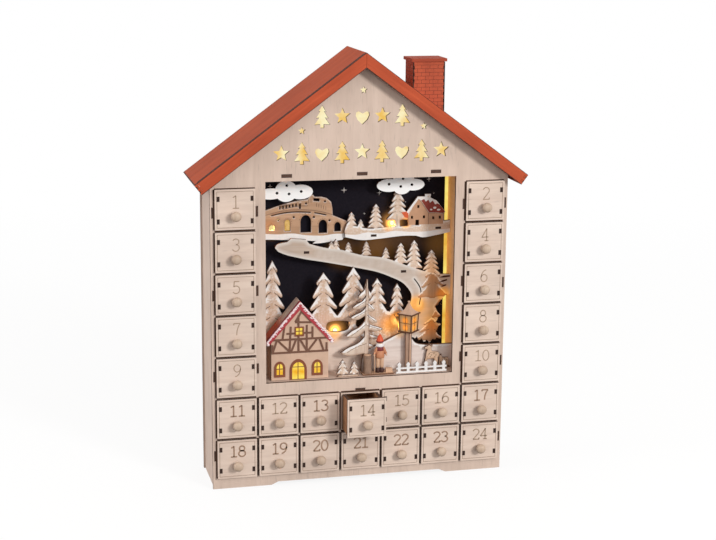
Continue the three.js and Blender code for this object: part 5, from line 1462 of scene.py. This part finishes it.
lamp_part(rod(5, 0.3, 2.1), 0)
lamp_part(rod(3.2, 2.1, 41.2), 0)
lamp_part([(0, 41.2), (10.9, 41.2), (11.4, 42.0), (11.4, 42.4), (0, 42.4)], 1)
lamp_part([(0, PANE_LOW), (9.0, PANE_LOW), (10.0, PANE_HIGH), (0, PANE_HIGH)], 2)
lamp_part(rod(12.4, PANE_HIGH, 60.6), 1)
lamp_part([(0, 60.6), (11.0, 60.6), (7.4, 62.4), (4.6, 64.6), (2.7, 67.4), (1.1, 70.6), (0, 70.6)], 0)
lamp_part([(0, 70.4), (0.9, 70.6), (0.8, 71.2), (1.3, 72), (1.2, 72.8), (0, 73.4)], 0, 12)
bar_length = PANE_HIGH - PANE_LOW
for across, deep in ((1, 0), (-1, 0), (0, 1), (0, -1)):
    lamp_part(rod(0.4, 2.1, 41.2), 1, 6, 3.1 * across, 3.1 * deep)
    lean = (across, deep, bar_length)
    lamp_part(rod(0.75, 0, bar_length), 1, 6, 9.1 * across, 9.1 * deep, lean, PANE_LOW)
for across, deep in ((1, -1), (-1, -1)):
    lean = (0.5 * across, 0.5 * deep, bar_length)
    lamp_part(rod(0.3, 0, bar_length), 1, 6, 4.6 * across, 4.6 * deep, lean, PANE_LOW)
lamp_part([(0, 50.6), (9.62, 50.6), (9.65, 51.2), (0, 51.2)], 1)
village_piece("street_lamp", mesh_of(work, "street_lamp_body", lamp_wood, lamp_edge, lantern_amber))


# Walking figure, stump and log
# A turned wooden figure in a red cap and coat, with a plain head and a staff, between a stump and a log.
WALKER_MIDDLE = 10.6
WALKER_X = 22.6
STUMP_X = 9.8
cap_red = plain_finish("cap_red", (0.62, 0.085, 0.03), 0.45, 0.05, 300.0, 0.12)
coat_red = plain_finish("coat_red", (0.16, 0.018, 0.024), 0.45, 0.05, 300.0, 0.15)
collar_white = plain_finish("collar_white", (0.78, 0.74, 0.74), 0.7, 0.4, 900.0, 0.1)
turned_wood = plain_finish("turned_wood", (0.60, 0.38, 0.25), 0.5, 0.12, 180.0, 0.18)
boot_dark = plain_finish("boot_dark", (0.05, 0.018, 0.014), 0.5, 0.05, 300.0, 0.2)
jacket_red = plain_finish("jacket_red", (0.50, 0.21, 0.11), 0.5, 0.05, 300.0, 0.2)
bark = plain_finish("bark", (0.24, 0.15, 0.105), 0.8, 0.9, 260.0, 0.6)
work = bmesh.new()


def walker_part(profile, material, x=WALKER_X, y=0.0, sides=24, axis=(0, 0, 1), height=0.0):
    turned_profile(work, profile, (x, front_mm + WALKER_MIDDLE + y, room_floor + height), axis, sides,
                   material)


board(work, (4, front_mm + WALKER_MIDDLE - 4.8, room_floor + 0.3),
      (36.5, front_mm + WALKER_MIDDLE + 4.2, room_floor + 1.6), 3, 5)
for side in (-1, 1):
    leg = WALKER_X + 2.1 * side
    walker_part([(0, 1.5), (2.0, 1.5), (2.3, 2.2), (2.2, 5.6), (1.7, 6.8), (0, 7.0)], 6, leg, -0.4, 16)
    walker_part([(0, 6.6), (1.9, 6.7), (2.0, 9), (2.3, 14), (2.6, 19.4), (0, 19.6)], 3, leg, -0.2, 16)
walker_part([(0, 16.8), (4.5, 17.2), (4.9, 18.4), (4.6, 21.4), (4.2, 24.4), (3.9, 25.2), (0, 25.4)], 7)
walker_part([(0, 24.8), (4.3, 24.9), (4.2, 26.4), (3.8, 28.2), (3.3, 29.4), (0, 29.6)], 1)
walker_part([(0, 28.2), (3.2, 28.3), (4.0, 29.2), (4.0, 30.8), (3.2, 32.0), (0, 32.2)], 2)
walker_part([(0, 30.9), (2.0, 31.1), (2.9, 32.2), (3.0, 33.2), (2.6, 34.9), (0, 35.6)], 3)
walker_part([(0, 33.1), (3.6, 33.1), (3.9, 33.7), (3.8, 34.7), (0, 34.8)], 1)
walker_part([(0, 34.2), (3.75, 34.3), (3.6, 35.2), (3.1, 36.6), (2.4, 38.4), (1.5, 40.1), (0.7, 41.1),
             (0, 41.4)], 0)
for side in (-1, 1):
    lean = (side * 0.42, -0.18, -1.0)
    walker_part([(0, 0), (1.3, 0.3), (1.6, 2), (1.5, 7.4), (0, 7.8)], 7, WALKER_X + side * 2.9, -0.6, 16,
                lean, 28.2)
    walker_part([(0, 0), (0.8, 0.2), (1.1, 1.0), (0.8, 1.8), (0, 2.1)], 3, WALKER_X + side * 5.9, -1.9, 12,
                lean, 21.2)
walker_part([(0, 1.5), (0.6, 1.5), (0.55, 23.4), (0, 23.8)], 3, WALKER_X - 6.0, -2.6, 10)
walker_part([(0, 1.5), (4.8, 1.5), (4.4, 3.4), (4.1, 6), (4.2, 20.2), (3.9, 20.5), (0, 20.5)], 4, STUMP_X,
            0.2, 30)
walker_part([(0, 20.5), (3.8, 20.5), (3.7, 20.7), (0, 20.7)], 3, STUMP_X, 0.2, 30)
board(work, (28.6, front_mm + WALKER_MIDDLE - 2.4, room_floor + 1.6),
      (35.4, front_mm + WALKER_MIDDLE + 2.4, room_floor + 5.6), 3, 3)
walker_mesh = mesh_of(work, "walker_body", cap_red, coat_red, collar_white, turned_wood, bark, scene_edge,
                      boot_dark, jacket_red)
village_piece("walker_and_stump", walker_mesh)


# Deer and picket fence
# Two deer cut from thin plywood with burnt markings stand behind a white fence at the front edge.
DEER_FRONT = 18.0
stag = [(71, 0.3), (73.2, 0.3), (74.2, 6.5), (74.8, 10), (82, 10.4), (83.2, 6), (84, 0.3), (86, 0.3),
        (86.4, 6), (86.6, 11), (88, 14), (87.6, 16.2), (86.4, 17.4), (80, 18.4), (79.2, 20.6), (79.0, 22.4),
        (80.6, 23.6), (80.2, 26.2), (79.4, 24.4), (78.2, 23.8), (78.0, 26.6), (77.2, 24.6), (76.6, 27.5),
        (76.2, 24.8), (74.8, 26.4), (75.2, 24.0), (72, 22.8), (71.6, 21.2), (75, 20.4), (73.9, 17.6),
        (73.6, 15)]
fawn = [(87, 0.3), (88.6, 0.3), (89.4, 6), (95, 6.2), (96, 0.3), (97.4, 0.3), (98, 8), (97.6, 9.8),
        (97, 10.8), (91, 11.2), (90, 14.6), (88.6, 13.4), (86.6, 12.8), (87.8, 11.4)]
deer_ground = [(69, 0.3), (99.5, 0.3), (98, 2.4), (71, 2.4)]
deer_wood = snowed_wood("deer_plywood", "Z", (0.66, 0.46, 0.33), (0.5, 0.33, 0.22), 0.3, 0.9)
village_board("deer_pair", [stag, fawn, deer_ground], DEER_FRONT, THIN_PLY, deer_wood)
deer_marks = [ellipse(x, z, 0.6, 0.45, 8) + [(x + 0.6, z)] for x, z in
              ((77, 15.6), (79.4, 14.2), (81.8, 15.6), (84.2, 14.0), (78.2, 12.6), (83.0, 12.2), (91.4, 8.6),
               (93.4, 9.2), (95.2, 8.4))]
deer_marks += [smooth([(74.8, 12), (78, 16.8), (85, 16)], 8),
               smooth([(90.4, 10.2), (94, 10.2), (96.6, 8)], 8), [(74.6, 22.2), (75.4, 22.2)]]
engraved("deer_markings", deer_marks, DEER_FRONT, 0.28)

PICKETS = 6
PICKET_PITCH = 9.4
FIRST_PICKET = 42.0
last_picket = FIRST_PICKET + (PICKETS - 1) * PICKET_PITCH
PICKET = [(-1.5, 1), (1.5, 1), (1.5, 8.2), (2.1, 9.2), (1.6, 10.2), (0, 12), (-1.6, 10.2), (-2.1, 9.2),
          (-1.5, 8.2)]
pickets = [[(FIRST_PICKET + i * PICKET_PITCH + x, z) for x, z in PICKET] for i in range(PICKETS)]
rails = [box_ring(FIRST_PICKET - 3, last_picket + 3, low, high) for low, high in ((0.3, 2.2), (4.6, 6.4))]
fence_paint = plain_finish("fence_paint", (0.72, 0.70, 0.70), 0.6, 0.15, 260.0, 0.1)
fence_edge = plain_finish("fence_edge", (0.40, 0.33, 0.29), 0.7)
village_board("picket_fence", pickets + rails, FENCE_FRONT, THIN_PLY, fence_paint,
              detailed=False, edge=fence_edge)


# Clouds
# Two white painted clouds hang from the ceiling before the sky, each with a few drilled dots.
CLOUD_FRONT = 36.0
CLOUDS = {
    "left_cloud": ([(-84, 183.9, 13, 5.6), (-68.5, 186, 11.4, 10.6), (-54, 185, 12.6, 7.4)], -69,
                   [(-67.8, 191.8), (-77.7, 184.5), (-65.5, 183.3), (-53.2, 185.4)]),
    "right_cloud": ([(37, 188.5, 12.8, 6.5), (50.5, 187.5, 9.6, 8.4), (52, 194, 11, 7.6),
                     (62.3, 188.6, 11.6, 6)], 52,
                    [(36.9, 189.8), (49.1, 187.1), (60.7, 188.6), (51.4, 195.2)]),
}
cloud_paint = plain_finish("cloud_paint", (0.97, 0.98, 1.0), 0.7, 0.08, 200.0, 0.02)
for node, (lobes, hook, dots) in CLOUDS.items():
    rings = [ellipse(*lobe, 48) for lobe in lobes] + [box_ring(hook - 1.5, hook + 1.5, 185.9, 205.6)]
    hollows = [ellipse(x, z, 1.45, 1.4, 14) for x, z in dots]
    village_board(node, rings, CLOUD_FRONT, THIN_PLY, cloud_paint, hollows, detailed=False)


# Light string and battery case
# One thin silver lead carries warm lamps behind the sky, in the cottage, in the loft and down the right
# strip. It ends at a black plastic case for two cells in the back panel, with a sliding lid and a switch.
wire_finish = plain_finish("silver_lead", (0.55, 0.55, 0.56), 0.35, 0.05, 400.0, 0.1)
dress("light_string", wire_finish)
lamp_glow = glowing("lamp_glow", (1.0, 0.80, 0.40), (1.0, 0.95, 0.72), 4.0, "Z", 0.0, 1.5, 500.0)
work = bmesh.new()
for x, z in SKY_LAMPS:
    turned_profile(work, [(0, -0.4), (2.1, -0.2), (2.15, 0.8), (1.7, 1.9), (0.9, 2.6), (0, 2.8)],
                   (x, front_mm + SKY_FRONT, room_floor + z), (0, -1, 0), 20)
add_piece("sky_lamp_caps", mesh_of(work, "sky_lamp_caps", lamp_glow), "house")


def warm_lamp(name, x, depth, z, power, colour=(1.0, 0.58, 0.22)):
    data = bpy.data.lights.new(name, "POINT")
    data.energy = power
    data.color = colour
    data.shadow_soft_size = 0.002
    lamp = bpy.data.objects.new(name, data)
    lamp.location = (x * MM, (front_mm + depth) * MM, (room_floor + z) * MM)
    bpy.context.collection.objects.link(lamp)


for i, (x, z) in enumerate(SKY_LAMPS):
    warm_lamp("sky_lamp_%d" % (i + 1), x, SKY_FRONT - 4.5, z, 0.03)

case_plastic = plain_finish("black_plastic", (0.017, 0.017, 0.018), 0.42, 0.25, 1400.0, 0.2)
dress("battery_case", case_plastic)
dress("battery_lid", case_plastic)
dress("switch_slider", plain_finish("switch_plastic", (0.03, 0.03, 0.032), 0.35, 0.1, 900.0, 0.2))


def cell_finish():
    """A green sleeve round a steel cell whose ends stay bare."""
    material, tree = blank_material("battery_sleeve")
    split = wired(tree, "SeparateXYZ", {0: object_place(tree)})
    reach = calc(tree, "ABSOLUTE", split.outputs["X"])
    bare = calc(tree, "GREATER_THAN", reach, 0.0215)
    tone = mix_colour(tree, bare, (0.03, 0.13, 0.06), (0.6, 0.6, 0.6))
    shader = wired(tree, "BsdfPrincipled", {"Base Color": tone, "Metallic": bare, "Roughness": 0.35})
    wired(tree, "OutputMaterial", {"Surface": shader})
    return material


sleeve = cell_finish()
for node in ("upper_battery_cell", "lower_battery_cell"):
    dress(node, sleeve)
